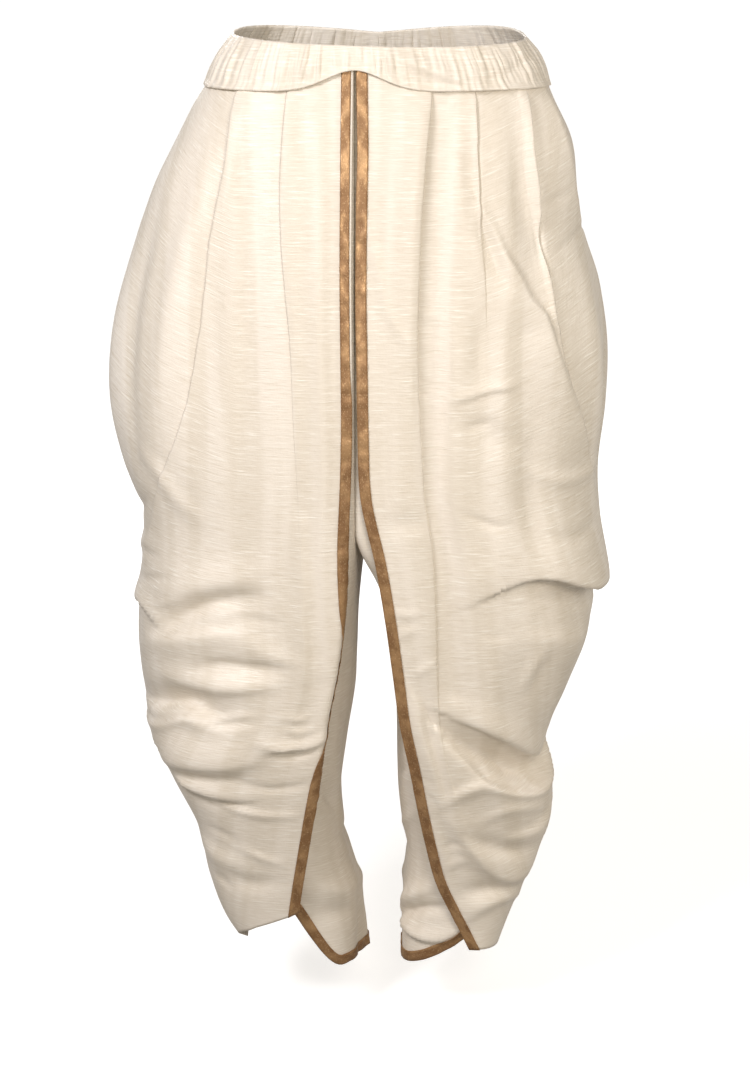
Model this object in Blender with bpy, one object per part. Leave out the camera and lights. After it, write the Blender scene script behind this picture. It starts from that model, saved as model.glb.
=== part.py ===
"""Dhoti pants: an elastic waistband, two knife-pleated drapes edged with gold tissue, and two under legs.

Metres, +Z up. The front faces -Y and the wearer's left leg is at +X. The origin is the centre of the waist
opening, level with its top edge. Every piece of cloth is a thin closed wall worked out from plan sections:
one row of a table for each level of the garment.
"""

import functools
import math

import bpy
import numpy as np

# Cloth walls and the clearances between pieces
CLOTH_WALL = 0.0012
BORDER_WALL = 0.0010
BAND_WALL = 0.0024
SEAM_GAP = 0.0003
WAIST_SEAM_GAP = 0.0008

# Waistband: its height, how far it stands out from the drapes' sections, and its elastic gathers
WAIST_Z = 0.0
BAND_FALL = 0.046
BAND_FALL_AT_FRONT = 0.025
BAND_FRONT_SPREAD = 0.040
BAND_GATHERS = 30
BAND_GATHER_DEPTH = 0.0010
BAND_OUT = 0.0028

# Height of the band's top edge all round, by the angle in degrees from the front towards the left side
BAND_TOP = (
    ("angle", "z"),
    (-180, 0.002),
    (-115, 0.009),
    (-70, 0.004),
    (-30, 0.000),
    (0, -0.002),
    (40, -0.003),
    (75, 0.000),
    (120, 0.008),
    (180, 0.002),
)
PLEAT_TOP_Z = WAIST_Z - BAND_FALL

# Centre front, where the two drapes meet, and the crotch
FRONT_X = -0.0205
BACK_X = 0.0040
LEGS_APART = 0.0009
CROTCH_Z = -0.497
CROTCH_DIP = 0.020
LEG_START_BACK = 0.002

# Gold tissue borders
BORDER_WIDTH = 0.0115
HEM_BORDER_WIDTH = 0.012

# Plan sections of each drape, a row for each level: its gold edge, its outermost point, how far forward and
# back it reaches, where its back seam lies, and how far its front edge turns back round the leg.
DRAPE_COLUMNS = ("z", "edge_x", "outer_x", "outer_y", "front_y", "seam_x", "seam_y", "turn")
RIGHT_DRAPE = (
    DRAPE_COLUMNS,
    (0.01, -0.0220, -0.142, 0.000, -0.107, -0.075, 0.102, 0.000),
    (-0.02, -0.0220, -0.161, 0.000, -0.114, -0.083, 0.108, 0.000),
    (-0.06, -0.0225, -0.182, 0.000, -0.122, -0.090, 0.120, 0.000),
    (-0.10, -0.0230, -0.203, 0.002, -0.132, -0.098, 0.134, 0.000),
    (-0.15, -0.0235, -0.229, 0.004, -0.142, -0.108, 0.150, 0.000),
    (-0.22, -0.0240, -0.253, 0.006, -0.152, -0.118, 0.162, 0.000),
    (-0.30, -0.0235, -0.274, 0.008, -0.160, -0.126, 0.168, 0.000),
    (-0.38, -0.0230, -0.279, 0.008, -0.165, -0.130, 0.166, 0.000),
    (-0.44, -0.0245, -0.269, 0.006, -0.166, -0.130, 0.160, 0.000),
    (-0.50, -0.0275, -0.252, 0.004, -0.165, -0.128, 0.152, 0.002),
    (-0.57, -0.0310, -0.255, 0.002, -0.162, -0.126, 0.145, 0.008),
    (-0.64, -0.0390, -0.259, 0.000, -0.156, -0.124, 0.138, 0.022),
    (-0.70, -0.0500, -0.254, 0.000, -0.148, -0.120, 0.132, 0.022),
    (-0.75, -0.0570, -0.247, 0.000, -0.138, -0.116, 0.124, 0.008),
    (-0.80, -0.0630, -0.226, 0.000, -0.124, -0.110, 0.114, 0.002),
    (-0.86, -0.0720, -0.198, 0.000, -0.106, -0.102, 0.100, 0.000),
    (-0.92, -0.0810, -0.186, 0.000, -0.088, -0.094, 0.084, 0.000),
    (-0.97, -0.0870, -0.168, 0.000, -0.074, -0.088, 0.070, 0.000),
    (-1.02, -0.0920, -0.132, 0.000, -0.064, -0.082, 0.058, 0.000),
)
LEFT_DRAPE = (
    DRAPE_COLUMNS,
    (0.01, -0.0190, 0.149, 0.000, -0.107, 0.082, 0.102, 0.000),
    (-0.02, -0.0190, 0.168, 0.000, -0.114, 0.089, 0.108, 0.000),
    (-0.06, -0.0185, 0.186, 0.000, -0.122, 0.096, 0.120, 0.000),
    (-0.10, -0.0180, 0.205, 0.002, -0.132, 0.104, 0.134, 0.000),
    (-0.15, -0.0190, 0.212, 0.004, -0.142, 0.110, 0.150, 0.000),
    (-0.19, -0.0195, 0.216, 0.005, -0.148, 0.114, 0.157, 0.000),
    (-0.25, -0.0200, 0.235, 0.006, -0.156, 0.120, 0.164, 0.000),
    (-0.31, -0.0190, 0.247, 0.008, -0.163, 0.126, 0.168, 0.000),
    (-0.38, -0.0180, 0.248, 0.008, -0.168, 0.130, 0.166, 0.000),
    (-0.45, -0.0150, 0.241, 0.004, -0.170, 0.130, 0.158, 0.000),
    (-0.52, 0.0000, 0.244, 0.002, -0.168, 0.130, 0.150, 0.000),
    (-0.58, 0.0100, 0.244, 0.000, -0.164, 0.130, 0.144, 0.000),
    (-0.64, 0.0180, 0.229, 0.000, -0.157, 0.128, 0.137, 0.000),
    (-0.70, 0.0260, 0.209, 0.000, -0.147, 0.126, 0.130, 0.000),
    (-0.75, 0.0360, 0.187, 0.000, -0.137, 0.122, 0.122, 0.000),
    (-0.80, 0.0450, 0.190, 0.000, -0.124, 0.118, 0.112, 0.000),
    (-0.85, 0.0550, 0.190, 0.000, -0.110, 0.114, 0.100, 0.000),
    (-0.90, 0.0670, 0.179, 0.000, -0.094, 0.108, 0.088, 0.000),
    (-0.95, 0.0880, 0.158, 0.000, -0.080, 0.102, 0.074, 0.000),
    (-1.02, 0.1180, 0.132, 0.000, -0.064, 0.096, 0.058, 0.000),
)

# Lower edge of each drape: its height at the gold edge, at the outermost point and at the back seam
RIGHT_DRAPE_HEM = (-0.939, -0.996, -1.006)
LEFT_DRAPE_HEM = (-0.988, -0.999, -1.008)

# Where each knife pleat crosses a level, as a share of the section's length from the gold edge to the
# outermost point. Past 1 it has passed onto the back.
RIGHT_PLEAT_PLACES = (
    ("z", "inner", "outer", "side"),
    (-0.05, 0.280, 0.530, 1.20),
    (-0.11, 0.255, 0.470, 1.18),
    (-0.20, 0.215, 0.460, 1.18),
    (-0.30, 0.175, 0.460, 1.20),
    (-0.38, 0.168, 0.510, 1.24),
    (-0.44, 0.162, 0.610, 1.27),
    (-0.50, 0.156, 0.760, 1.30),
    (-0.56, 0.150, 0.910, 1.32),
    (-0.62, 0.150, 1.020, 1.34),
    (-0.75, 0.200, 1.080, 1.38),
    (-1.02, 0.450, 1.100, 1.40),
)
LEFT_PLEAT_PLACES = (
    ("z", "inner", "middle", "outer", "side"),
    (-0.05, 0.267, 0.447, 0.673, 0.835),
    (-0.10, 0.220, 0.405, 0.605, 0.810),
    (-0.15, 0.200, 0.398, 0.605, 0.835),
    (-0.22, 0.182, 0.392, 0.602, 0.930),
    (-0.30, 0.164, 0.380, 0.610, 1.040),
    (-0.37, 0.168, 0.375, 0.670, 1.110),
    (-0.44, 0.180, 0.375, 0.780, 1.170),
    (-0.50, 0.178, 0.380, 0.890, 1.220),
    (-0.56, 0.164, 0.390, 0.980, 1.260),
    (-0.65, 0.155, 0.400, 1.050, 1.300),
    (-0.75, 0.170, 0.420, 1.080, 1.330),
    (-1.02, 0.480, 0.750, 1.100, 1.380),
)

# Each pleat, as (lap, step, faded_z): how far its layers lap at the waist, how proud its fold stands, and the
# level where it has faded
RIGHT_PLEATS = (
    (0.010, 0.0050, -0.62),
    (0.014, 0.0085, -0.70),
    (0.010, 0.0060, -0.40),
)
LEFT_PLEATS = (
    (0.012, 0.0060, -0.80),
    (0.009, 0.0050, -0.36),
    (0.014, 0.0085, -0.66),
    (0.010, 0.0070, -0.40),
)
BACK_PLEAT_SHARES = (0.30, 0.62, 0.90)
BACK_PLEAT = (0.010, 0.0055, -0.42)
BACK_FLATS = (2, 2, 2, 1)
BACK_FIRST = 0.006

# Soft folds, each along a route of places on the unrolled cloth, as (length from the gold edge, height). Above
# and below are its widths on either side, rise is how far it stands out and hang how far it drops. A rise
# below nothing is a hollow.
FOLD_COLUMNS = ("above", "below", "rise", "hang", "route")
FOLD_END_LEFT = 0.10
HELD_BY_SEAM = 0.020
RIGHT_FOLDS = (
    FOLD_COLUMNS,
    # the dented fold that runs in from the side, and the cloth below it
    (0.014, 0.014, -0.007, 0.0, ((0.095, -0.560), (0.145, -0.570), (0.178, -0.586), (0.222, -0.610))),
    (0.014, 0.022, 0.006, 0.0, ((0.110, -0.602), (0.180, -0.611), (0.218, -0.621), (0.270, -0.630))),
    # the hollow over the knee and the pouch under it
    (0.018, 0.014, -0.013, 0.0, ((0.140, -0.690), (0.168, -0.686), (0.200, -0.688), (0.255, -0.696))),
    (0.012, 0.030, 0.015, 0.0, ((0.108, -0.712), (0.154, -0.712), (0.189, -0.716), (0.225, -0.730), (0.262, -0.732))),
    (0.014, 0.012, 0.006, 0.002, ((0.084, -0.793), (0.122, -0.791), (0.162, -0.785), (0.188, -0.778))),
    # the back: a lip and a pouch
    (0.030, 0.014, 0.013, 0.006, ((0.370, -0.590), (0.410, -0.602), (0.450, -0.604), (0.490, -0.592))),
    (0.016, 0.014, -0.009, 0.0, ((0.335, -0.720), (0.370, -0.734), (0.405, -0.734), (0.435, -0.724))),
    (0.012, 0.024, 0.010, 0.0, ((0.330, -0.748), (0.365, -0.766), (0.400, -0.768), (0.430, -0.756))),
    (0.018, 0.018, 0.005, 0.0, ((0.480, -0.180), (0.505, -0.280), (0.520, -0.380), (0.510, -0.470))),
)
LEFT_FOLDS = (
    FOLD_COLUMNS,
    # the lip over the knee, and the hollow under it
    (0.034, 0.012, 0.017, 0.010, ((0.126, -0.556), (0.165, -0.546), (0.215, -0.561), (0.290, -0.575), (0.345, -0.566))),
    (0.010, 0.018, -0.010, 0.0, ((0.150, -0.566), (0.185, -0.568), (0.250, -0.592), (0.340, -0.590))),
    # the hollow over the calf and the pouch that stands out round it
    (0.020, 0.014, -0.014, 0.0, ((0.060, -0.712), (0.101, -0.748), (0.151, -0.774), (0.185, -0.766))),
    (0.012, 0.026, 0.015, 0.0, ((0.044, -0.740), (0.072, -0.780), (0.116, -0.806), (0.165, -0.808), (0.215, -0.780))),
    # the bag of cloth at the shin
    (0.022, 0.016, 0.008, 0.003, ((0.040, -0.838), (0.064, -0.882), (0.105, -0.902), (0.140, -0.874))),
    # the long soft ridge beside the outer pleats
    (0.014, 0.016, 0.005, 0.0, ((0.125, -0.163), (0.165, -0.236), (0.199, -0.276), (0.229, -0.341), (0.250, -0.400))),
    # the back: a lip and a pouch
    (0.030, 0.014, 0.014, 0.007, ((0.380, -0.560), (0.420, -0.572), (0.460, -0.574), (0.500, -0.560))),
    (0.016, 0.014, -0.008, 0.0, ((0.305, -0.712), (0.335, -0.726), (0.370, -0.728), (0.400, -0.718))),
    (0.012, 0.024, 0.009, 0.0, ((0.300, -0.738), (0.330, -0.756), (0.360, -0.760), (0.395, -0.748))),
    (0.018, 0.018, 0.005, 0.0, ((0.480, -0.180), (0.500, -0.280), (0.515, -0.380), (0.510, -0.470))),
)

# Plan sections of each under leg, a row for each level: where its bound edge starts under the drape, its
# inner side in front and behind, how far forward and back it reaches, and the radii of its rounded corners.
LEG_COLUMNS = ("z", "start_x", "inner_front_x", "inner_back_x", "front_y", "back_y", "round_x", "round_y")
RIGHT_LEG = (
    LEG_COLUMNS,
    (0.01, -0.070, -0.0211, 0.0034, -0.102, 0.102, 0.004, 0.004),
    (-0.02, -0.070, -0.0211, 0.0034, -0.109, 0.108, 0.004, 0.004),
    (-0.06, -0.070, -0.0211, 0.0034, -0.117, 0.120, 0.004, 0.004),
    (-0.15, -0.075, -0.0211, 0.0034, -0.137, 0.150, 0.004, 0.004),
    (-0.30, -0.075, -0.0211, 0.0034, -0.155, 0.166, 0.004, 0.004),
    (-0.42, -0.078, -0.0211, 0.0034, -0.160, 0.160, 0.004, 0.004),
    (-0.50, -0.080, -0.0211, 0.0034, -0.158, 0.150, 0.008, 0.010),
    (-0.56, -0.082, -0.0205, -0.0100, -0.152, 0.144, 0.026, 0.040),
    (-0.62, -0.086, -0.0200, -0.0180, -0.143, 0.137, 0.040, 0.075),
    (-0.68, -0.092, -0.0210, -0.0210, -0.131, 0.130, 0.050, 0.090),
    (-0.75, -0.100, -0.0310, -0.0310, -0.117, 0.119, 0.052, 0.088),
    (-0.82, -0.106, -0.0385, -0.0385, -0.100, 0.105, 0.052, 0.078),
    (-0.88, -0.104, -0.0330, -0.0330, -0.084, 0.091, 0.054, 0.068),
    (-0.94, -0.096, -0.0170, -0.0170, -0.068, 0.076, 0.056, 0.055),
    (-1.03, -0.084, -0.0060, -0.0060, -0.055, 0.056, 0.056, 0.044),
)
LEFT_LEG = (
    LEG_COLUMNS,
    (0.01, 0.030, -0.0199, 0.0046, -0.102, 0.102, 0.004, 0.004),
    (-0.02, 0.030, -0.0199, 0.0046, -0.109, 0.108, 0.004, 0.004),
    (-0.06, 0.030, -0.0199, 0.0046, -0.117, 0.120, 0.004, 0.004),
    (-0.15, 0.034, -0.0199, 0.0046, -0.137, 0.150, 0.004, 0.004),
    (-0.30, 0.036, -0.0199, 0.0046, -0.155, 0.166, 0.004, 0.004),
    (-0.42, 0.040, -0.0199, 0.0046, -0.160, 0.160, 0.004, 0.004),
    (-0.50, 0.050, -0.0190, 0.0046, -0.158, 0.150, 0.008, 0.010),
    (-0.56, 0.066, 0.0050, 0.0120, -0.152, 0.144, 0.030, 0.040),
    (-0.62, 0.078, 0.0160, 0.0180, -0.143, 0.137, 0.042, 0.075),
    (-0.68, 0.090, 0.0230, 0.0230, -0.131, 0.130, 0.050, 0.090),
    (-0.75, 0.100, 0.0250, 0.0250, -0.117, 0.119, 0.054, 0.088),
    (-0.82, 0.108, 0.0270, 0.0270, -0.100, 0.105, 0.056, 0.078),
    (-0.88, 0.112, 0.0360, 0.0360, -0.084, 0.091, 0.056, 0.068),
    (-0.94, 0.112, 0.0330, 0.0330, -0.068, 0.076, 0.056, 0.055),
    (-1.03, 0.104, 0.0310, 0.0310, -0.055, 0.056, 0.056, 0.044),
)

# Hem of each under leg: its height at the bound edge and round the ankle, and how much of the way it climbs
RIGHT_LEG_HEM = (-0.935, -1.018, 0.065)
LEFT_LEG_HEM = (-0.972, -1.020, 0.090)

# How finely the walls are divided
DRAPE_ROWS_ABOVE = 8
DRAPE_ROWS_BELOW = 23
DRAPE_HALFWAY = 0.52
LEG_ROWS_ABOVE = 8
LEG_ROWS_BELOW = 11
LEG_FRONT_COLUMNS = 8
LEG_INNER_COLUMNS = 3
BAND_STEPS_PER_GATHER = 4
CURVE_STEPS = 160
PLEAT_STEPS = (0.0, 0.22, 0.42, 0.58, 0.78, 1.0)
PLEAT_SPAN = 0.008
SECTION_ROUNDNESS = 2.3
EASING_PASSES = 12
LEAST_TURN = 0.001
BAND_HEIGHTS = (0.0, 0.5, 1.0)
SHARP_ANGLE = math.radians(50)
LEVEL_DIGITS = 4

IVORY = (0.86, 0.80, 0.68)
GOLD = (0.42, 0.26, 0.13)


def clear_scene():
    for thing in list(bpy.data.objects):
        bpy.data.objects.remove(thing, do_unlink=True)


def principled(name, colour, roughness, metallic):
    material = bpy.data.materials.new(name)
    material.use_nodes = True
    shader = material.node_tree.nodes["Principled BSDF"]
    shader.inputs["Base Color"].default_value = (*colour, 1.0)
    shader.inputs["Roughness"].default_value = roughness
    shader.inputs["Metallic"].default_value = metallic
    return material


def ease(t):
    """0 to 1 with level ends."""
    t = np.clip(t, 0.0, 1.0)
    return t * t * (3.0 - 2.0 * t)


def at_level(table, place):
    """The row of a table where its first column has this value, on a smooth curve through its rows, by name."""
    rows = np.array(table[1:], float)
    rows = rows[np.argsort(rows[:, 0])]
    places = rows[:, 0]
    slopes = np.gradient(rows, places, axis=0)
    place = min(max(place, places[0]), places[-1])
    k = int(np.clip(np.searchsorted(places, place) - 1, 0, len(places) - 2))
    span = places[k + 1] - places[k]
    t = (place - places[k]) / span
    value = (
        (2 * t**3 - 3 * t**2 + 1) * rows[k]
        + (t**3 - 2 * t**2 + t) * span * slopes[k]
        + (3 * t**2 - 2 * t**3) * rows[k + 1]
        + (t**3 - t**2) * span * slopes[k + 1]
    )
    return dict(zip(table[0], value))


def quarter(start, end, level_start, roundness):
    """A quarter of a superellipse, level with X at its start or else at its end."""
    t = np.linspace(0.0, math.pi / 2, CURVE_STEPS)
    fast = np.sin(t) ** (2.0 / roundness)
    slow = 1.0 - np.cos(t) ** (2.0 / roundness)
    along_x, along_y = (fast, slow) if level_start else (slow, fast)
    x = start[0] + (end[0] - start[0]) * along_x
    y = start[1] + (end[1] - start[1]) * along_y
    return np.column_stack([x, y])


def measured(points):
    """How far along a line each of its points lies."""
    return np.concatenate([[0.0], np.cumsum(np.linalg.norm(np.diff(points, axis=0), axis=1))])


def evenly(points, count):
    """The same line with evenly spaced points."""
    run = measured(points)
    places = np.linspace(0.0, run[-1], count)
    return np.column_stack([np.interp(places, run, points[:, k]) for k in range(2)])


def eased(points):
    """The line with its corners eased and its ends kept."""
    for _ in range(EASING_PASSES):
        points[1:-1] = (points[:-2] + 2 * points[1:-1] + points[2:]) / 4
    return points


class Line:
    """A plan section, measured along its length, with its outward side."""

    def __init__(self, points, outward):
        self.points = points
        self.run = measured(points)
        self.length = self.run[-1]
        tangents = np.gradient(points, self.run, axis=0)
        self.normals = np.column_stack([tangents[:, 1], -tangents[:, 0]]) * outward

    def at(self, run, out):
        """The point at a length along the line and a distance out from it."""
        x, y = (np.interp(run, self.run, self.points[:, k]) for k in range(2))
        nx, ny = (np.interp(run, self.run, self.normals[:, k]) for k in range(2))
        size = math.hypot(nx, ny)
        return np.array([x + out * nx / size, y + out * ny / size])


@functools.cache
def drape_line(side, z):
    """The plan section of a drape, from its gold edge round its outermost point to the back seam."""
    row = at_level(DRAPES[side]["sections"], z)
    outer = (row["outer_x"], row["outer_y"])
    front = quarter((row["edge_x"], row["front_y"]), outer, True, SECTION_ROUNDNESS)
    back = quarter(outer, (row["seam_x"], row["seam_y"]), False, SECTION_ROUNDNESS)
    points = np.vstack([front, back[1:]])
    if row["turn"] > LEAST_TURN:
        points = np.vstack([[[row["edge_x"], row["front_y"] + row["turn"]]], points])
    return Line(eased(evenly(points, 2 * CURVE_STEPS)), SIDES[side])


def run_of_share(side, line, share):
    """How far along a drape's section a pleat lies, from its share of the way to the outermost point."""
    widest = line.run[int(np.argmax(line.points[:, 0] * SIDES[side]))]
    return share * widest if share < 1.0 else widest + (share - 1.0) * (line.length - widest)


def across_pleats(line, runs, pleats, flats, z, first):
    """Places across a pleated section, as lengths along it and distances out from it, the first two apart by first.

    Each pleat is an S in plan: the fold comes forward over the next stretch, turns under and runs on lower.
    Between pleats the cloth climbs again to the next fold.
    """
    places = [(0.0, 0.0)]
    low = first
    for k, count in enumerate(flats):
        last = k == len(runs)
        lap, step, faded_z = pleats[k] if not last else (0.0, 0.0, -1.0)
        left = 1.0 - ease((PLEAT_TOP_Z - z) / (PLEAT_TOP_Z - faded_z))
        high = line.length if last else runs[k] - PLEAT_SPAN / 2
        stretch = np.linspace(0.0, 1.0, count + 2)[(0 if k == 0 else 1) : (None if last else -1)]
        places += [(low + (high - low) * t, step * left * t * t) for t in stretch]
        if last:
            break
        swing = (lap / 2 + PLEAT_SPAN / 8) * left
        for t in PLEAT_STEPS:
            run = runs[k] + PLEAT_SPAN * (t - 0.5) + swing * math.sin(2 * math.pi * t)
            places.append((run, step * left * (0.5 + 0.5 * math.cos(math.pi * t))))
        low = runs[k] + PLEAT_SPAN / 2
    return places


def fold_field(folds, run, z):
    """How far the soft folds lift the cloth at a place on it, and how far they let it hang."""
    rise = hang = 0.0
    for above, below, lift, fall, points in folds[1:]:
        route = np.array(points)
        reach = np.diff(route, axis=0)
        offset = np.array([run, z]) - route[:-1]
        t = np.clip((offset * reach).sum(axis=1) / (reach**2).sum(axis=1), 0.0, 1.0)
        offset -= t[:, None] * reach
        gaps = np.hypot(offset[:, 0], offset[:, 1])
        k = int(np.argmin(gaps))
        turned = reach[k, 0] * offset[k, 1] - reach[k, 1] * offset[k, 0]
        over = turned * (route[-1, 0] - route[0, 0]) > 0
        place = FOLD_END_LEFT + (1 - 2 * FOLD_END_LEFT) * (k + t[k]) / len(reach)
        shape = math.sin(math.pi * place) * math.exp(-((gaps[k] / (above if over else below)) ** 2))
        rise += lift * shape
        hang += fall * shape
    return rise, hang


def band_low_z(x, y):
    """Height of the band's lower seam, which lifts at the centre front."""
    lift = (BAND_FALL - BAND_FALL_AT_FRONT) * math.exp(-(((x - FRONT_X) / BAND_FRONT_SPREAD) ** 2))
    return WAIST_Z - BAND_FALL + (lift if y < 0 else 0.0)


@functools.cache
def drape_section(side, z):
    """Every column of a drape at one height, as lengths along the section and distances out from it."""
    drape = DRAPES[side]
    line = drape_line(side, z)
    shares = list(at_level(drape["pleat_places"], z).values())[1:]
    runs = [run_of_share(side, line, share) for share in shares]
    places = across_pleats(line, runs, drape["pleats"], drape["flats"], z, BORDER_WIDTH)
    places[-1] = (line.length - SEAM_GAP, 0.0)
    return line, places


def drape_grid(side):
    """Mid-surface points of a drape, [column][row], from its waist seam down to its hem."""
    drape = DRAPES[side]
    above = np.linspace(0.0, DRAPE_HALFWAY, DRAPE_ROWS_ABOVE + 1)
    below = np.linspace(DRAPE_HALFWAY, 1.0, DRAPE_ROWS_BELOW + 1)[1:]
    top, places = drape_section(side, PLEAT_TOP_Z)
    low, ends = drape_section(side, drape["hem"][1])
    widest = low.run[int(np.argmax(low.points[:, 0] * SIDES[side]))]
    grid = []
    for k, (run, out) in enumerate(places):
        hem_z = float(np.interp(ends[k][0], [0.0, widest, low.length], drape["hem"]))
        top_z = band_low_z(*top.at(run, out)) - WAIST_SEAM_GAP
        column = []
        for share in (*above, *below):
            z = round(top_z + (hem_z - top_z) * share, LEVEL_DIGITS)
            section, here = drape_section(side, z)
            run, out = here[k]
            held = float(ease((section.length - run) / HELD_BY_SEAM) * ease((top_z - z) / HELD_BY_SEAM))
            rise, hang = fold_field(drape["folds"], run, z)
            column.append((*section.at(run, out + rise * held), z - hang * held))
        grid.append(column)
    return np.array(grid)


def clear_of(side, centre, x):
    """x, held to the leg's own side of the centre line."""
    return SIDES[side] * max(SIDES[side] * x, SIDES[side] * centre + LEGS_APART)


@functools.cache
def leg_lines(side, z):
    """The plan section of an under leg as three stretches: its front, its inner side and its back."""
    row = at_level(LEGS[side]["sections"], z)
    seam = drape_line(side, z).points[-1]
    rx, ry = row["round_x"] * SIDES[side], row["round_y"]
    front_x = clear_of(side, FRONT_X, row["inner_front_x"])
    back_x = clear_of(side, BACK_X, row["inner_back_x"])
    front_y, back_y = row["front_y"], row["back_y"]
    corner = quarter((front_x + rx, front_y), (front_x, front_y + ry), True, 2.0)
    front = np.vstack([[[row["start_x"], front_y + LEG_START_BACK]], corner])
    back_corner = quarter((back_x, back_y - ry), (back_x + rx, back_y), False, 2.0)
    t = np.linspace(0.0, 1.0, CURVE_STEPS)[1:]
    reach_x = back_x + rx + (seam[0] - back_x - rx) * t
    reach_y = back_y + (seam[1] - back_y) * ease(t)
    back = np.vstack([back_corner, np.column_stack([reach_x, reach_y])])
    inner = np.array([front[-1], back[0]])
    return [Line(evenly(part, CURVE_STEPS), -SIDES[side]) for part in (front, inner, back)]


@functools.cache
def leg_section(side, z):
    """Every column of an under leg at one height, as (stretch, x, y)."""
    front, inner, back = leg_lines(side, z)
    points = [(0, *front.at(t * front.length, 0.0)) for t in np.linspace(0.0, 1.0, LEG_FRONT_COLUMNS)]
    for t in np.linspace(0.0, 1.0, LEG_INNER_COLUMNS + 2)[1:-1]:
        points.append((1, *inner.at(t * inner.length, 0.0)))
    runs = [share * back.length for share in BACK_PLEAT_SHARES]
    places = across_pleats(back, runs, [BACK_PLEAT] * len(runs), BACK_FLATS, z, BACK_FIRST)
    places[-1] = (back.length - SEAM_GAP, 0.0)
    points += [(2, *back.at(run, out)) for run, out in places]
    return points


def leg_grid(side):
    """Mid-surface points of an under leg, [column][row] upward from its hem, and which cells are cloth."""
    leg = LEGS[side]
    hem_front, hem_round, climb = leg["hem"]
    top = leg_section(side, PLEAT_TOP_Z)
    ankle = leg_section(side, hem_round)
    run = measured(np.array([point[1:] for point in ankle]))
    hems = hem_round + (hem_front - hem_round) * (1.0 - ease(run / climb))
    slopes = np.gradient(hems, run)
    grid = []
    for k, (stretch, top_x, top_y) in enumerate(top):
        arch = math.sin(math.pi * (k - LEG_FRONT_COLUMNS + 1) / (LEG_INNER_COLUMNS + 1))
        crotch_z = CROTCH_Z - (CROTCH_DIP * arch if stretch == 1 else 0.0)
        border_z = hems[k] + HEM_BORDER_WIDTH * math.hypot(1.0, slopes[k])
        top_z = band_low_z(top_x, top_y) - WAIST_SEAM_GAP
        below = np.linspace(border_z, crotch_z, LEG_ROWS_BELOW)
        above = np.linspace(crotch_z, top_z, LEG_ROWS_ABOVE + 1)[1:]
        levels = [round(float(z), LEVEL_DIGITS) for z in (hems[k], *below, *above)]
        grid.append([(*leg_section(side, z)[k][1:], z) for z in levels])
    cells = np.ones((len(grid) - 1, LEG_ROWS_BELOW + LEG_ROWS_ABOVE), bool)
    cells[LEG_FRONT_COLUMNS - 1 : LEG_FRONT_COLUMNS + LEG_INNER_COLUMNS, LEG_ROWS_BELOW:] = False
    return np.array(grid), cells


@functools.cache
def waist_line(z):
    """The whole garment's plan section at the waist, closed, from the centre front round the left side."""
    left_back = leg_lines("left", z)[2].points
    right_back = leg_lines("right", z)[2].points
    loop = [drape_line("left", z).points, left_back[::-1], right_back, drape_line("right", z).points[::-1]]
    points = np.vstack(loop)
    points = evenly(np.vstack([points, points[:1]]), 4 * CURVE_STEPS)
    return Line(eased(points), 1.0)


def band_grid():
    """Mid-surface points of the waistband, [column][row] upward, with its gathers."""
    count = BAND_GATHERS * BAND_STEPS_PER_GATHER
    grid = []
    for k in range(count):
        share = k / count
        low = waist_line(WAIST_Z - BAND_FALL)
        low_x, low_y = low.at(share * low.length, 0.0)
        low_z = band_low_z(low_x, low_y)
        angle = math.degrees(math.atan2(low_x, -low_y))
        top_z = WAIST_Z + float(at_level(BAND_TOP, angle)["z"])
        column = []
        for height in BAND_HEIGHTS:
            z = low_z + (top_z - low_z) * height
            line = waist_line(round(z, LEVEL_DIGITS))
            gather = BAND_GATHER_DEPTH * math.cos(2 * math.pi * k / BAND_STEPS_PER_GATHER)
            column.append((*line.at(share * line.length, BAND_OUT + gather), z))
        grid.append(column)
    return np.array(grid)


def normals_of(grid, outward, ring):
    """Unit normals of a grid of points, on its outward side."""
    wide = np.concatenate([grid[-1:], grid, grid[:1]]) if ring else grid
    across = np.gradient(wide, axis=0)
    along = np.gradient(wide, axis=1)
    normals = np.cross(across, along) * outward
    normals /= np.linalg.norm(normals, axis=2)[:, :, None]
    return normals[1:-1] if ring else normals


def levelled(normals, row):
    """The normals with one row made level, so that the wall's rim there is level too."""
    normals[:, row, 2] = 0.0
    normals[:, row] /= np.linalg.norm(normals[:, row], axis=1)[:, None]
    return normals


def cloth(name, material, grid, normals, wall, lift=0.0, cells=None, ring=False):
    """A closed wall of cloth on a grid of mid-surface points, moved out by lift."""
    columns, rows = grid.shape[:2]
    outer = grid + normals * (lift + wall / 2)
    inner = grid + normals * (lift - wall / 2)
    points = np.concatenate([outer.reshape(-1, 3), inner.reshape(-1, 3)])
    under = columns * rows
    first = grid[1, 0] - grid[0, 0], grid[0, 1] - grid[0, 0]
    faces_out = float(np.dot(np.cross(*first), normals[0, 0])) > 0
    faces = []
    rim = {}
    for i in range(columns if ring else columns - 1):
        for j in range(rows - 1):
            if cells is not None and not cells[i, j]:
                continue
            left, right = i * rows + j, (i + 1) % columns * rows + j
            face = [left, right, right + 1, left + 1]
            for half in ([face[0], face[1], face[2]], [face[0], face[2], face[3]]):
                half = half if faces_out else half[::-1]
                faces.append(half)
                faces.append([under + k for k in reversed(half)])
                for a, b in zip(half, half[1:] + half[:1]):
                    if rim.pop((b, a), None) is None:
                        rim[a, b] = True
    faces.extend([b, a, under + a, under + b] for a, b in rim)
    used = sorted({k for face in faces for k in face})
    place = {k: n for n, k in enumerate(used)}
    mesh = bpy.data.meshes.new(name)
    mesh.from_pydata(points[used].tolist(), [], [[place[k] for k in face] for face in faces])
    mesh.materials.append(material)
    mesh.shade_smooth()
    mesh.set_sharp_from_angle(angle=SHARP_ANGLE)
    piece = bpy.data.objects.new(name, mesh)
    bpy.context.collection.objects.link(piece)
    return piece


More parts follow.
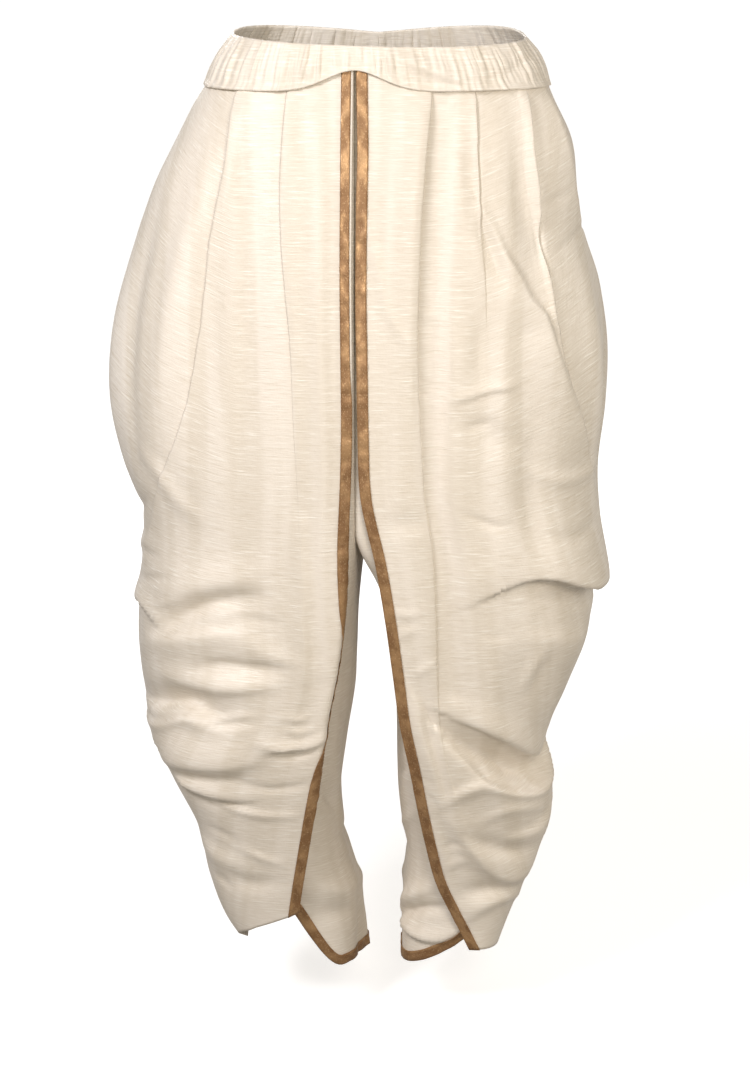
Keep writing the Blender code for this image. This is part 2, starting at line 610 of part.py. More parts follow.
def make_drape(side, ivory, gold):
    """A drape and the gold border that lies along its front edge."""
    grid = drape_grid(side)
    normals = levelled(normals_of(grid, -SIDES[side], False), 0)
    cloth(f"front_drape_{side}", ivory, grid, normals, CLOTH_WALL)
    lift = (CLOTH_WALL + BORDER_WALL) / 2 + SEAM_GAP
    cloth(f"front_border_{side}", gold, grid[:2], normals[:2], BORDER_WALL, lift)


def make_leg(side, ivory, gold):
    """An under leg with its seat, and the gold border round its hem."""
    grid, cells = leg_grid(side)
    normals = levelled(normals_of(grid, -SIDES[side], False), -1)
    cloth(f"back_panel_{side}", ivory, grid, normals, CLOTH_WALL, cells=cells)
    lift = (CLOTH_WALL + BORDER_WALL) / 2 + SEAM_GAP
    cloth(f"hem_border_{side}", gold, grid[:, :2], normals[:, :2], BORDER_WALL, lift)


SIDES = {"right": -1.0, "left": 1.0}
DRAPES = {
    "right": {
        "sections": RIGHT_DRAPE,
        "hem": RIGHT_DRAPE_HEM,
        "pleat_places": RIGHT_PLEAT_PLACES,
        "pleats": RIGHT_PLEATS,
        "flats": (2, 4, 3, 3),
        "folds": RIGHT_FOLDS,
    },
    "left": {
        "sections": LEFT_DRAPE,
        "hem": LEFT_DRAPE_HEM,
        "pleat_places": LEFT_PLEAT_PLACES,
        "pleats": LEFT_PLEATS,
        "flats": (2, 2, 2, 2, 3),
        "folds": LEFT_FOLDS,
    },
}
LEGS = {
    "right": {"sections": RIGHT_LEG, "hem": RIGHT_LEG_HEM},
    "left": {"sections": LEFT_LEG, "hem": LEFT_LEG_HEM},
}


def main():
    clear_scene()
    ivory = principled("ivory dupion", IVORY, 0.45, 0.0)
    gold = principled("gold tissue", GOLD, 0.40, 0.6)
    for side in SIDES:
        make_drape(side, ivory, gold)
        make_leg(side, ivory, gold)
    band = band_grid()
    normals = levelled(levelled(normals_of(band, 1.0, True), 0), -1)
    cloth("waistband", ivory, band, normals, BAND_WALL, ring=True)


main()
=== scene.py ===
# %% [markdown]
# # Dhoti pants in ivory silk
#
# Dhoti pants look like a wrapped cloth but are sewn: an elastic waistband, two wide drapes that meet in
# front and fall in knife pleats, and two narrow legs underneath. The cloth is dupion, a silk with thick
# places in its weft, and a strip of gold tissue edges every drape and hem.
#
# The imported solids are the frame. They already have the right size, outline and pleats, so each piece here
# is a thinner, finer shell on the same form, and carries the small folds, the seams and the weave.

# %% Load the frame
import math

import bpy
import numpy as np
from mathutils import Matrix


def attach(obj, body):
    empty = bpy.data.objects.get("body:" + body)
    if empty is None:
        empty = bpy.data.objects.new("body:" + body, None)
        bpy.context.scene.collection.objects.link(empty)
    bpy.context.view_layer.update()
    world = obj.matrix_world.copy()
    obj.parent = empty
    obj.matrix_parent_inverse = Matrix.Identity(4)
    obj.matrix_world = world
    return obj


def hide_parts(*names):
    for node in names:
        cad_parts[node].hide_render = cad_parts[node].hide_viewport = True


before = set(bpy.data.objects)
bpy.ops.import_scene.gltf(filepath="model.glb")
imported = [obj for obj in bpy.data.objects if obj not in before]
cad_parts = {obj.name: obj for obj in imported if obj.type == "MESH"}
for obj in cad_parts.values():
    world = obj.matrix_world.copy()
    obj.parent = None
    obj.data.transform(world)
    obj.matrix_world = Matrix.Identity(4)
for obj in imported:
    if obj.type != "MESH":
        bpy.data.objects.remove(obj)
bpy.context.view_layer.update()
MM = 0.001

# %% [markdown]
# ## The camera
#
# A camera can be placed by eye, but then nothing lines up with the photograph. Here the picture is known to
# look down at the garment by about 14 degrees from 2.6 metres away, so the camera stands there and a long
# lens keeps the legs from spreading. No shift and no blur are needed.

# %% Place the camera
CAMERA_PLACE = (0.0, -2.6, 0.13)
CAMERA_DOWN = math.radians(14.45)
CAMERA_LENS = 81.5


def in_scene(name, data):
    """A new object in the scene, from a mesh, a lamp or a camera."""
    made = bpy.data.objects.new(name, data)
    bpy.context.collection.objects.link(made)
    return made


camera = in_scene("camera", bpy.data.cameras.new("camera"))
camera.location = CAMERA_PLACE
camera.rotation_euler = (math.pi / 2 - CAMERA_DOWN, 0.0, 0.0)
camera.data.lens = CAMERA_LENS
bpy.context.scene.camera = camera
print("Camera", round(math.degrees(CAMERA_DOWN), 1), "degrees down, lens", CAMERA_LENS, "mm")

# %% [markdown]
# ## Plan sections
#
# A sleeve or a leg can be sculpted, but cloth that hangs is easier to describe by slicing it. Each row of a
# table is one level of the garment seen from above, in millimetres: where the drape's gold edge lies, how
# far out it reaches, how far forward, where its back seam is, and how far the cloth turns in behind the gold
# edge. A smooth curve through the rows gives every level between them.

# %% Tables of the two drapes
DRAPE_COLUMNS = ("z", "edge_x", "outer_x", "outer_y", "front_y", "seam_x", "seam_y", "turn")
RIGHT_DRAPE = (
    DRAPE_COLUMNS,
    (10, -22, -142, 0, -107, -75, 102, 0),
    (-20, -22, -161, 0, -114, -83, 108, 0),
    (-60, -22.5, -182, 0, -122, -90, 120, 0),
    (-100, -23, -203, 2, -132, -98, 134, 0),
    (-150, -23.5, -229, 4, -142, -108, 150, 0),
    (-220, -24, -253, 6, -152, -118, 162, 0),
    (-300, -23.5, -274, 8, -160, -126, 168, 0),
    (-380, -23, -279, 8, -165, -130, 166, 0),
    (-440, -24.5, -269, 6, -166, -130, 160, 0),
    (-500, -27.5, -252, 4, -165, -128, 152, 2),
    (-570, -31, -255, 2, -162, -126, 145, 8),
    (-640, -39, -259, 0, -156, -124, 138, 22),
    (-700, -50, -254, 0, -148, -120, 132, 22),
    (-750, -57, -247, 0, -138, -116, 124, 8),
    (-800, -63, -226, 0, -124, -110, 114, 2),
    (-860, -72, -198, 0, -106, -102, 100, 0),
    (-920, -81, -186, 0, -88, -94, 84, 0),
    (-970, -87, -168, 0, -74, -88, 70, 0),
    (-1020, -92, -132, 0, -64, -82, 58, 0),
)
LEFT_DRAPE = (
    DRAPE_COLUMNS,
    (10, -19, 149, 0, -107, 82, 102, 0),
    (-20, -19, 168, 0, -114, 89, 108, 0),
    (-60, -18.5, 186, 0, -122, 96, 120, 0),
    (-100, -18, 205, 2, -132, 104, 134, 0),
    (-150, -19, 212, 4, -142, 110, 150, 0),
    (-190, -19.5, 216, 5, -148, 114, 157, 0),
    (-250, -20, 235, 6, -156, 120, 164, 0),
    (-310, -19, 247, 8, -163, 126, 168, 0),
    (-380, -18, 248, 8, -168, 130, 166, 0),
    (-450, -15, 241, 4, -170, 130, 158, 0),
    (-520, 0, 244, 2, -168, 130, 150, 0),
    (-580, 10, 244, 0, -164, 130, 144, 0),
    (-640, 18, 229, 0, -157, 128, 137, 0),
    (-700, 26, 209, 0, -147, 126, 130, 0),
    (-750, 36, 187, 0, -137, 122, 122, 0),
    (-800, 45, 190, 0, -124, 118, 112, 0),
    (-850, 55, 190, 0, -110, 114, 100, 0),
    (-900, 67, 179, 0, -94, 108, 88, 0),
    (-950, 88, 158, 0, -80, 102, 74, 0),
    (-1020, 118, 132, 0, -64, 96, 58, 0),
)
# Heights of a hem in metres: at the gold edge, at the outermost point and at the back seam
RIGHT_DRAPE_HEM = (-0.939, -1.003, -0.996)
LEFT_DRAPE_HEM = (-0.988, -0.999, -1.008)
SIDES = {"right": -1.0, "left": 1.0}
print(len(RIGHT_DRAPE) - 1, "levels on the right drape and", len(LEFT_DRAPE) - 1, "on the left")

# %% Smooth curves through table rows
# Tables are written in thousandths: lengths in millimetres, and shares in parts of a thousand
TABLE_PARTS = 1000


def ease(t):
    """0 to 1 with level ends."""
    t = np.clip(t, 0.0, 1.0)
    return t * t * (3.0 - 2.0 * t)


def along(rows, places):
    """Rows read at any place between them, on a smooth curve. A row's first number is its place."""
    rows = np.array(rows, float)
    rows = rows[np.argsort(rows[:, 0])]
    known = rows[:, 0]
    slopes = np.gradient(rows, known, axis=0)
    places = np.clip(places, known[0], known[-1])
    k = np.clip(np.searchsorted(known, places) - 1, 0, len(known) - 2)
    span = np.asarray(known[k + 1] - known[k])[..., None]
    t = np.asarray(places - known[k])[..., None] / span
    start = (2 * t**3 - 3 * t**2 + 1) * rows[k] + (t**3 - 2 * t**2 + t) * span * slopes[k]
    return start + (3 * t**2 - 2 * t**3) * rows[k + 1] + (t**3 - t**2) * span * slopes[k + 1]


def at_level(table, z):
    """The row of a table at height z, by column name, in metres or in shares of one."""
    return dict(zip(table[0], along(np.array(table[1:]) / TABLE_PARTS, z)))


# %% Lines in plan
SECTION_ROUNDNESS = 2.3
CURVE_STEPS = 160
EASING_PASSES = 12


def quarter(start, end, level_start, roundness):
    """A quarter of a superellipse, level with X at its start or else at its end."""
    t = np.linspace(0.0, math.pi / 2, CURVE_STEPS)
    fast = np.sin(t) ** (2.0 / roundness)
    slow = 1.0 - np.cos(t) ** (2.0 / roundness)
    along_x, along_y = (fast, slow) if level_start else (slow, fast)
    x = start[0] + (end[0] - start[0]) * along_x
    y = start[1] + (end[1] - start[1]) * along_y
    return np.column_stack([x, y])


def measured(points):
    """How far along a line each of its points lies."""
    return np.concatenate([[0.0], np.cumsum(np.linalg.norm(np.diff(points, axis=0), axis=1))])


def evenly(points, count):
    """The same line with evenly spaced points."""
    run = measured(points)
    places = np.linspace(0.0, run[-1], count)
    return np.column_stack([np.interp(places, run, points[:, k]) for k in range(2)])


def eased(points):
    """The line with its corners eased and its ends kept."""
    for _ in range(EASING_PASSES):
        points[1:-1] = (points[:-2] + 2 * points[1:-1] + points[2:]) / 4
    return points


class Line:
    """A plan section, measured along its length, with its outward side."""

    def __init__(self, points, outward):
        self.points = points
        self.run = measured(points)
        self.length = self.run[-1]
        tangents = np.gradient(points, self.run, axis=0)
        self.normals = np.column_stack([tangents[:, 1], -tangents[:, 0]]) * outward

    def at(self, runs):
        """Places and outward directions at lengths along the line, as x, y, nx, ny."""
        both = (self.points, self.normals)
        x, y, nx, ny = [np.interp(runs, self.run, rows[:, k]) for rows in both for k in range(2)]
        size = np.hypot(nx, ny)
        return x, y, nx / size, ny / size


def drape_line(side, z):
    """The plan section of a drape, from its gold edge round its outermost point to the back seam."""
    row = at_level(DRAPES[side]["sections"], z)
    outer = (row["outer_x"], row["outer_y"])
    front = quarter((row["edge_x"], row["front_y"]), outer, True, SECTION_ROUNDNESS)
    back = quarter(outer, (row["seam_x"], row["seam_y"]), False, SECTION_ROUNDNESS)
    points = np.vstack([front, back[1:]])
    if row["turn"] > MM:
        points = np.vstack([[[row["edge_x"], row["front_y"] + row["turn"]]], points])
    return Line(eased(evenly(points, 2 * CURVE_STEPS)), SIDES[side])


# %% [markdown]
# ## Knife pleats
#
# A knife pleat is a fold pressed to one side. Seen from above it is an S: the cloth comes forward over its
# neighbour, turns under, and runs on lower. The pleats are sharp at the waist, where a seam holds them, and
# open out further down until they have gone. Each drape states where its pleats cross a level, in
# thousandths of the way from the gold edge to the outermost point, and past 1000 from there to the back
# seam. A second table says how deep each pleat is.

# %% Tables of the pleats
RIGHT_PLEAT_PLACES = (
    ("z", "inner", "outer", "side"),
    (-50, 280, 530, 1200),
    (-110, 255, 470, 1180),
    (-200, 215, 460, 1180),
    (-300, 175, 460, 1200),
    (-380, 168, 510, 1240),
    (-440, 162, 610, 1270),
    (-500, 156, 760, 1300),
    (-560, 150, 910, 1320),
    (-620, 150, 1020, 1340),
    (-750, 200, 1080, 1380),
    (-1020, 450, 1100, 1400),
)
LEFT_PLEAT_PLACES = (
    ("z", "inner", "middle", "outer", "side"),
    (-50, 267, 447, 673, 835),
    (-100, 220, 405, 605, 810),
    (-150, 200, 398, 605, 835),
    (-220, 182, 392, 602, 930),
    (-300, 164, 380, 610, 1040),
    (-370, 168, 375, 670, 1110),
    (-440, 180, 375, 780, 1170),
    (-500, 178, 380, 890, 1220),
    (-560, 164, 390, 980, 1260),
    (-650, 155, 400, 1050, 1300),
    (-750, 170, 420, 1080, 1330),
    (-1020, 480, 750, 1100, 1380),
)

# Each pleat, as (lap, step, faded_z) in metres: how far its layers lap at the waist, how proud its fold
# stands, and the level where it has faded
RIGHT_PLEATS = (
    (0.010, 0.0050, -0.62),
    (0.014, 0.0085, -0.70),
    (0.010, 0.0060, -0.40),
)
LEFT_PLEATS = (
    (0.012, 0.0085, -0.95),
    (0.009, 0.0050, -0.36),
    (0.014, 0.0085, -0.66),
    (0.010, 0.0070, -0.40),
)

BACK_PLEAT_SHARES = (0.30, 0.62, 0.90)
BACK_PLEAT = (0.010, 0.0055, -0.42)
print(len(RIGHT_PLEATS) + len(LEFT_PLEATS) + 2 * len(BACK_PLEAT_SHARES), "pleats in all")

# %% Places across a pleated section
BAND_FALL = 0.046
PLEAT_TOP_Z = -BAND_FALL
PLEAT_SPAN = 0.008
PLEAT_LEAN = 1 / 8
PLEAT_STEPS = np.linspace(0.0, 1.0, 15)


def run_of_share(side, line, share):
    """How far along a drape's section a pleat lies, from its share of the way to the outermost point."""
    widest = line.run[int(np.argmax(line.points[:, 0] * SIDES[side]))]
    return share * widest if share < 1.0 else widest + (share - 1.0) * (line.length - widest)


def across_pleats(length, runs, pleats, counts, z, lead):
    """Places across a pleated section: lengths along it, and distances out from it.

    The lead is the stretch before the pleats begin, as under a border, and counts says how many places each
    stretch between pleats has.
    """
    places = [(run, 0.0) for run in lead[:-1]]
    low = lead[-1]
    for k, count in enumerate(counts):
        last = k == len(runs)
        lap, step, faded_z = pleats[k] if not last else (0.0, 0.0, -1.0)
        left = 1.0 - float(ease((PLEAT_TOP_Z - z) / (PLEAT_TOP_Z - faded_z)))
        high = length if last else runs[k] - PLEAT_SPAN / 2
        stretch = np.linspace(0.0, 1.0, count)[(0 if k == 0 else 1) : (None if last else -1)]
        places += [(low + (high - low) * t, step * left * t * t) for t in stretch]
        if last:
            break
        swing = (lap / 2 + PLEAT_SPAN * PLEAT_LEAN) * left
        run = runs[k] + PLEAT_SPAN * (PLEAT_STEPS - 0.5) + swing * np.sin(2 * math.pi * PLEAT_STEPS)
        out = step * left * (0.5 + 0.5 * np.cos(math.pi * PLEAT_STEPS))
        places += list(zip(run, out))
        low = runs[k] + PLEAT_SPAN / 2
    return np.array(places)


# %% [markdown]
# ## Soft folds
#
# A cloth simulation would make folds of its own, in places of its own. These folds have to lie where the
# real ones do, so each is drawn as a short route over the unrolled cloth: millimetres across from
# the gold edge, and millimetres down from the waist. A fold has its own width above and below its route. A
# narrow side makes a lip, and a fold that also hangs down laps over what is under it. A rise below nothing
# is a hollow.

# %% Tables of the folds
# Each fold: its width above and below the route, its rise and its hang, then the route's places as pairs
LEFT_FOLDS = (
    # the lip over the knee, the shade under it and the cloth that comes out below
    (40, 4, 14, 9, 134, 548, 150, 541, 165, 538, 190, 540, 215, 550, 245, 560, 290, 563, 345, 556),
    (4, 16, -13, 0, 150, 552, 185, 551, 215, 562, 250, 574, 300, 578, 345, 574),
    (8, 22, -6, 0, 160, 570, 195, 574, 235, 590, 280, 596),
    (14, 34, 6, 0, 140, 612, 180, 620, 225, 630, 270, 630),
    # the hollow over the calf, and the pouch whose rim stands out round it
    (20, 11, -17, 0, 52, 716, 80, 738, 105, 758, 130, 774, 155, 781, 182, 772),
    (7, 44, 13, -3, 38, 712, 46, 731, 58, 751, 72, 773, 91, 788, 116, 799, 141, 804, 165, 801, 194, 788,
        216, 768),
    (3, 5, 4, 0, 72, 771, 91, 786, 116, 797, 141, 802, 165, 799, 194, 786, 214, 768),
    (5, 9, 5, 0, 34, 792, 50, 783, 68, 777, 88, 786),
    (22, 4, 10, 5, 58, 692, 84, 704, 112, 724, 140, 747, 168, 757, 200, 744),
    # the soft bag of cloth below the pouch
    (24, 12, 8, 4, 28, 804, 40, 828, 51, 855, 64, 880, 84, 899, 105, 900, 126, 885, 142, 866),
    (6, 20, 6, 0, 92, 850, 116, 850, 145, 843, 170, 828),
    (10, 10, -7, 0, 48, 836, 66, 850, 92, 864, 122, 866),
    (12, 8, 5, 1, 10, 948, 36, 934, 57, 929, 80, 930, 104, 938),
    (10, 12, -5, 0, 24, 915, 50, 912, 80, 914),
    # long soft ridges and troughs from the pleats
    (6, 26, 9, 0, 124, 157, 137, 180, 150, 210, 166, 230, 178, 252, 198, 274, 206, 300, 218, 326,
        232, 352, 250, 384),
    (7, 9, -7, 0, 128, 176, 136, 197, 142, 214, 152, 236),
    (5, 7, -5, 0, 200, 262, 212, 290, 222, 320, 236, 352, 246, 376),
    (24, 11, -11, 0, 94, 70, 88, 171, 84, 270, 82, 371, 80, 474, 70, 582, 60, 664),
    (16, 16, 5, 0, 148, 75, 153, 154, 152, 250, 152, 353, 151, 426, 140, 489, 126, 531),
    (14, 16, -4, 0, 186, 380, 184, 440, 176, 500, 168, 530),
    (14, 18, 4, 0, 112, 600, 104, 650, 98, 700, 96, 730),
    (5, 6, 1.8, 0, 9, 150, 15, 190, 25, 225, 33, 261, 45, 281, 57, 296),
    (5, 11, 6, 0, 23, 672, 21, 696, 22, 724, 24, 757, 26, 792),
    (9, 9, 4, 0, 14, 780, 14, 817, 13, 883, 10, 930),
    (12, 12, -3, 0, 34, 660, 30, 720, 30, 780),
    # the shaded band inside the third pleat, and the one inside the second
    (4, 22, -11, 0, 171, 58, 177, 116, 186, 161, 194, 191, 200, 231, 206, 270),
    (5, 13, -7, 0, 114, 62, 117, 113, 120, 152, 124, 178),
    (18, 22, 6, 0, 262, 230, 276, 300, 285, 370, 290, 440),
    (16, 20, -5, 0, 310, 300, 318, 380, 312, 460),
    # short creases
    (4, 5, -2.4, 0, 106, 469, 117, 476, 132, 482, 149, 484),
    (5, 3, 3.2, 2, 96, 352, 114, 347, 127, 343, 141, 340, 163, 338),
    (4, 4, -2.2, 0, 192, 163, 215, 158, 246, 152),
    (4, 4, -2.2, 0, 222, 208, 247, 200, 300, 186),
    (3, 3, 1.3, 0, 58, 262, 75, 266, 92, 270),
    (3, 3, -1.5, 0, 58, 324, 66, 330, 76, 338),
    (3, 3, -1.5, 0, 58, 338, 66, 342, 75, 349),
    (4, 4, -1.8, 0, 108, 382, 124, 378, 142, 374),
    (14, 18, -3.5, 0, 112, 376, 142, 390, 172, 405),
    (9, 12, -3.5, 0, 128, 270, 127, 306, 126, 336),
    (6, 5, 3, 0, 140, 669, 154, 646, 167, 626),
    (6, 5, -2.4, 0, 150, 676, 166, 652, 180, 632),
    (5, 4, 1.6, 0, 8, 577, 16, 575, 27, 576, 39, 571),
    (4, 4, 1.6, 0, 12, 600, 23, 594, 32, 591),
    (4, 4, 1.6, 0, 22, 642, 33, 637, 45, 629),
    (12, 10, -2.2, 0, 22, 481, 43, 478, 62, 474),
    (8, 7, 2.6, 0, 180, 430, 215, 444, 255, 446, 300, 436),
    (7, 8, -2.4, 0, 190, 500, 235, 506, 285, 500),
    (6, 5, 2.4, 0, 60, 822, 90, 814, 120, 817, 150, 826),
    (5, 5, -2, 0, 20, 852, 30, 848, 42, 846),
    (5, 5, 2, 0, 16, 880, 28, 873, 42, 870),
    (6, 6, -2, 0, 120, 905, 135, 915, 150, 918),
    # the back: a lip, soft pouches and the long folds above them
    (32, 5, 16, 11, 380, 560, 420, 572, 460, 574, 505, 558),
    (8, 16, -8, 0, 395, 576, 430, 588, 470, 588),
    (24, 8, -12, 0, 300, 708, 335, 722, 370, 724, 402, 712),
    (5, 24, 13, 0, 296, 730, 330, 752, 360, 756, 400, 740),
    (16, 14, 6, 2, 250, 868, 285, 884, 320, 872),
    (16, 18, 5, 0, 430, 120, 445, 220, 455, 330, 450, 430),
    (16, 18, -5, 0, 395, 200, 405, 300, 410, 400, 400, 480),
    (18, 18, 6, 0, 480, 180, 500, 280, 515, 380, 510, 470),
    (14, 14, -4, 0, 360, 620, 400, 632, 440, 634),
)
RIGHT_FOLDS = (
    # the front cloth laps the cloth at the side, and a dented fold runs in from there
    (14, 5, 7, 4, 222, 614, 240, 598, 261, 590, 295, 588, 335, 598),
    (9, 8, -9, 0, 95, 560, 120, 563, 145, 570, 178, 586, 200, 598, 224, 612),
    (18, 12, 6, 2, 100, 536, 145, 546, 185, 560, 228, 578),
    (7, 20, 8, 0, 110, 602, 148, 604, 180, 611, 218, 621, 255, 630),
    (5, 6, -2.6, 0, 92, 570, 111, 572, 138, 571),
    (5, 6, -2.6, 0, 78, 587, 104, 583, 128, 583),
    (4, 4, 2.2, 0, 184, 569, 206, 578, 233, 588),
    (4, 5, -2.4, 0, 205, 551, 232, 558, 275, 569),
    (4, 5, -2, 0, 230, 532, 255, 536, 285, 534),
    # the hollow over the knee and the pouch that stands out under it
    (6, 14, -7, 0, 76, 636, 110, 638, 138, 636, 168, 641),
    (14, 8, 6, 1, 84, 654, 116, 660, 149, 664, 177, 665, 214, 664),
    (20, 6, -17, 0, 130, 694, 152, 696, 168, 691, 190, 691, 220, 699, 258, 704),
    (3, 9, 5, 0, 104, 706, 120, 709, 140, 712, 154, 708, 170, 704, 189, 710, 204, 720, 225, 727,
        268, 728),
    (34, 12, 13, 0, 78, 742, 100, 752, 125, 758, 150, 761, 175, 762, 205, 758),
    (5, 9, -5, 0, 106, 700, 124, 706, 144, 710),
    # creases that run into the top of the slit
    (8, 4, 4.5, 2, 14, 716, 27, 724, 43, 727, 61, 728, 84, 722),
    (4, 4, 2.4, 0, 34, 706, 45, 709, 62, 705),
    (4, 4, 2, 0, 40, 690, 52, 694, 70, 690),
    (4, 4, -2.4, 0, 19, 732, 32, 736, 50, 737),
    # folds below the pouch
    (8, 6, -6, 0, 96, 770, 133, 773, 161, 778, 192, 781),
    (12, 5, 8, 3, 80, 796, 104, 796, 122, 794, 142, 791, 162, 786, 192, 777),
    (6, 9, -6, 0, 76, 803, 104, 802, 126, 800, 148, 795),
    (4, 5, 4, 0, 22, 812, 43, 813, 61, 813, 77, 811, 99, 806, 121, 802, 146, 795, 172, 785),
    (4, 5, -2.6, 0, 14, 772, 34, 776, 55, 779, 74, 776, 95, 770),
    (4, 5, -2.2, 0, 84, 850, 104, 845, 126, 843),
    (4, 5, 2.8, 0, 27, 875, 49, 869, 75, 860),
    (5, 6, -2.4, 0, 82, 917, 95, 911, 111, 907),
    (12, 14, 5, 0, 70, 885, 110, 880, 150, 868),
    (10, 12, -4, 0, 30, 900, 60, 905, 90, 900),
    # long soft ridges and troughs from the pleats
    (10, 8, -4, 0, 118, 58, 115, 94, 112, 133, 107, 172),
    (9, 8, -3, 0, 58, 45, 55, 72, 51, 112),
    (4, 4, 1.4, 0, 103, 177, 100, 211, 100, 251, 101, 290),
    (14, 16, -5, 0, 92, 84, 99, 172, 103, 271, 110, 370, 120, 470),
    (9, 9, 4, 0, 30, 83, 31, 180, 32, 279, 30, 380, 27, 495, 27, 582, 33, 640),
    (9, 9, 5, 0, 50, 480, 48, 560, 53, 604, 56, 650, 58, 690),
    (18, 20, 6, 0, 150, 110, 161, 155, 185, 236, 201, 318, 214, 400),
    (16, 18, -6, 0, 128, 120, 140, 200, 150, 300, 165, 400),
    (16, 18, -6, 0, 230, 170, 255, 260, 262, 350, 255, 430),
    (18, 20, 6, 0, 285, 200, 305, 290, 312, 380, 300, 460),
    (9, 10, 3.5, 0, 160, 480, 186, 464, 213, 437, 240, 420),
    (9, 8, -3, 0, 240, 470, 280, 490, 320, 495),
    (9, 8, 3, 0, 250, 520, 290, 534, 330, 530),
    (10, 12, 3.5, 0, 60, 640, 90, 622, 120, 612),
    # the back: a lip, a pouch and the long folds above them
    (32, 5, 15, 10, 365, 590, 410, 602, 450, 604, 495, 590),
    (8, 16, -8, 0, 385, 606, 420, 618, 460, 618),
    (24, 8, -12, 0, 335, 714, 370, 728, 405, 728, 438, 716),
    (5, 24, 13, 0, 326, 738, 365, 758, 400, 760, 434, 746),
    (16, 14, 6, 2, 262, 872, 300, 886, 335, 874),
    (16, 18, 5, 0, 390, 120, 405, 220, 412, 330, 405, 430),
    (16, 18, -5, 0, 430, 150, 450, 250, 460, 350, 455, 450),
    (18, 18, 6, 0, 480, 180, 505, 280, 520, 380, 510, 480),
    (14, 14, -4, 0, 370, 640, 410, 650, 450, 648),
)

# %% How far the folds move the cloth
ROUTE_STEPS = 28
FOLD_END_LEFT = 0.10
print(len(LEFT_FOLDS) + len(RIGHT_FOLDS), "folds drawn on the two drapes")


def fold_field(folds, across, down):
    """How far the folds lift the cloth and let it hang, at each place on the unrolled cloth."""
    rise, hang = np.zeros(across.shape), np.zeros(across.shape)
    for above, below, lift, fall, *places in folds:
        route = np.reshape(places, (-1, 2)) * (MM, -MM)
        rows = np.column_stack([measured(route), route])
        route = along(rows, np.linspace(0.0, rows[-1, 0], ROUTE_STEPS + 1))[:, 1:]
        forward = np.sign(route[-1, 0] - route[0, 0])
        nearest = np.full(across.shape, np.inf)
        over, place = np.zeros(across.shape, bool), np.zeros(across.shape)
        for k, (start, reach) in enumerate(zip(route, np.diff(route, axis=0))):
            from_x, from_z = across - start[0], down - start[1]
            t = np.clip((from_x * reach[0] + from_z * reach[1]) / (reach @ reach), 0.0, 1.0)
            off_x, off_z = from_x - t * reach[0], from_z - t * reach[1]
            gap = np.hypot(off_x, off_z)
            closer = gap < nearest
            nearest = np.where(closer, gap, nearest)
            over = np.where(closer, (reach[0] * off_z - reach[1] * off_x) * forward > 0, over)
            place = np.where(closer, (k + t) / ROUTE_STEPS, place)
        width = np.where(over, above, below) * MM
        taper = np.sin(math.pi * (FOLD_END_LEFT + (1 - 2 * FOLD_END_LEFT) * place))
        shape = taper * np.exp(-((nearest / width) ** 2))
        rise += lift * MM * shape
        hang += fall * MM * shape
    return rise, hang


# %% [markdown]
# ## A shell of cloth
#
# Every piece is a grid of points, worked out level by level, which becomes a mesh with one face for each
# cell. Blender's Solidify modifier then gives it the thickness of cloth. The map of the unrolled cloth is
# kept with the mesh in real metres, so the weave is the same size on every piece and follows the cloth
# round its folds.

# %% Read the levels, make the mesh
LEVEL_TOP = 0.01
LEVEL_LOW = -1.03
LEVEL_STEP = 0.0025
LEVELS = np.arange(LEVEL_TOP, LEVEL_LOW, -LEVEL_STEP)
DUPION_THICKNESS = 0.0009


def read_rows(values, place):
    """Values known at whole rows, read at places between them."""
    low = np.clip(place.astype(int), 0, len(values) - 2)
    share = place - low
    upper = np.take_along_axis(values, low, axis=0)
    return upper * (1 - share) + np.take_along_axis(values, low + 1, axis=0) * share


def read_levels(values, z):
    """Values worked out at every level, read at each point's own height."""
    return read_rows(values, (LEVEL_TOP - z) / LEVEL_STEP)


def shell(name, points, across, down, thickness, outward, cells=None, closed=False):
    """A mesh on a grid of points, with the unrolled cloth as its map and a cloth's thickness."""
    rows, columns = points.shape[:2]
    row, column = np.mgrid[0 : rows - 1, 0 : columns if closed else columns - 1]
    if cells is not None:
        row, column = row[cells], column[cells]
    row, column = row.reshape(-1, 1), column.reshape(-1, 1)
    turn = [0, 1, 2, 3] if outward else [0, 3, 2, 1]
    corner_rows = (row + [0, 0, 1, 1])[:, turn]
    corner_columns = (column + [0, 1, 1, 0])[:, turn]
    used, faces = np.unique(corner_rows * columns + corner_columns % columns, return_inverse=True)
    mesh = bpy.data.meshes.new(name)
    mesh.from_pydata(points.reshape(-1, 3)[used].tolist(), [], faces.reshape(-1, 4).tolist())
    flat = np.stack([across[corner_rows, corner_columns], down[corner_rows, corner_columns]], axis=-1)
    mesh.uv_layers.new(name="cloth").data.foreach_set("uv", flat.reshape(-1))
    mesh.shade_smooth()
    piece = in_scene(name, mesh)
    solid = piece.modifiers.new("thickness", "SOLIDIFY")
    solid.thickness = thickness
    solid.offset = 0.0
    area = sum(face.area for face in mesh.polygons)
    print(f"{name}: {len(mesh.polygons)} faces, {area:.3f} square metres of cloth")
    return piece


def moved_out(points, distance, outward):
    """The grid moved off its own surface."""
    normals = np.cross(np.gradient(points, axis=1), np.gradient(points, axis=0))
    normals /= np.linalg.norm(normals, axis=2)[:, :, None]
    return points + normals * np.asarray(distance)[..., None] * (1 if outward else -1)


def stood_out(x, y, nx, ny, out, z):
    """Points at height z, moved out from their places on a plan section."""
    return np.stack([x + nx * out, y + ny * out, z], axis=-1)


def level_at(z):
    """Which of the levels lies at height z."""
    return int(round((LEVEL_TOP - z) / LEVEL_STEP))


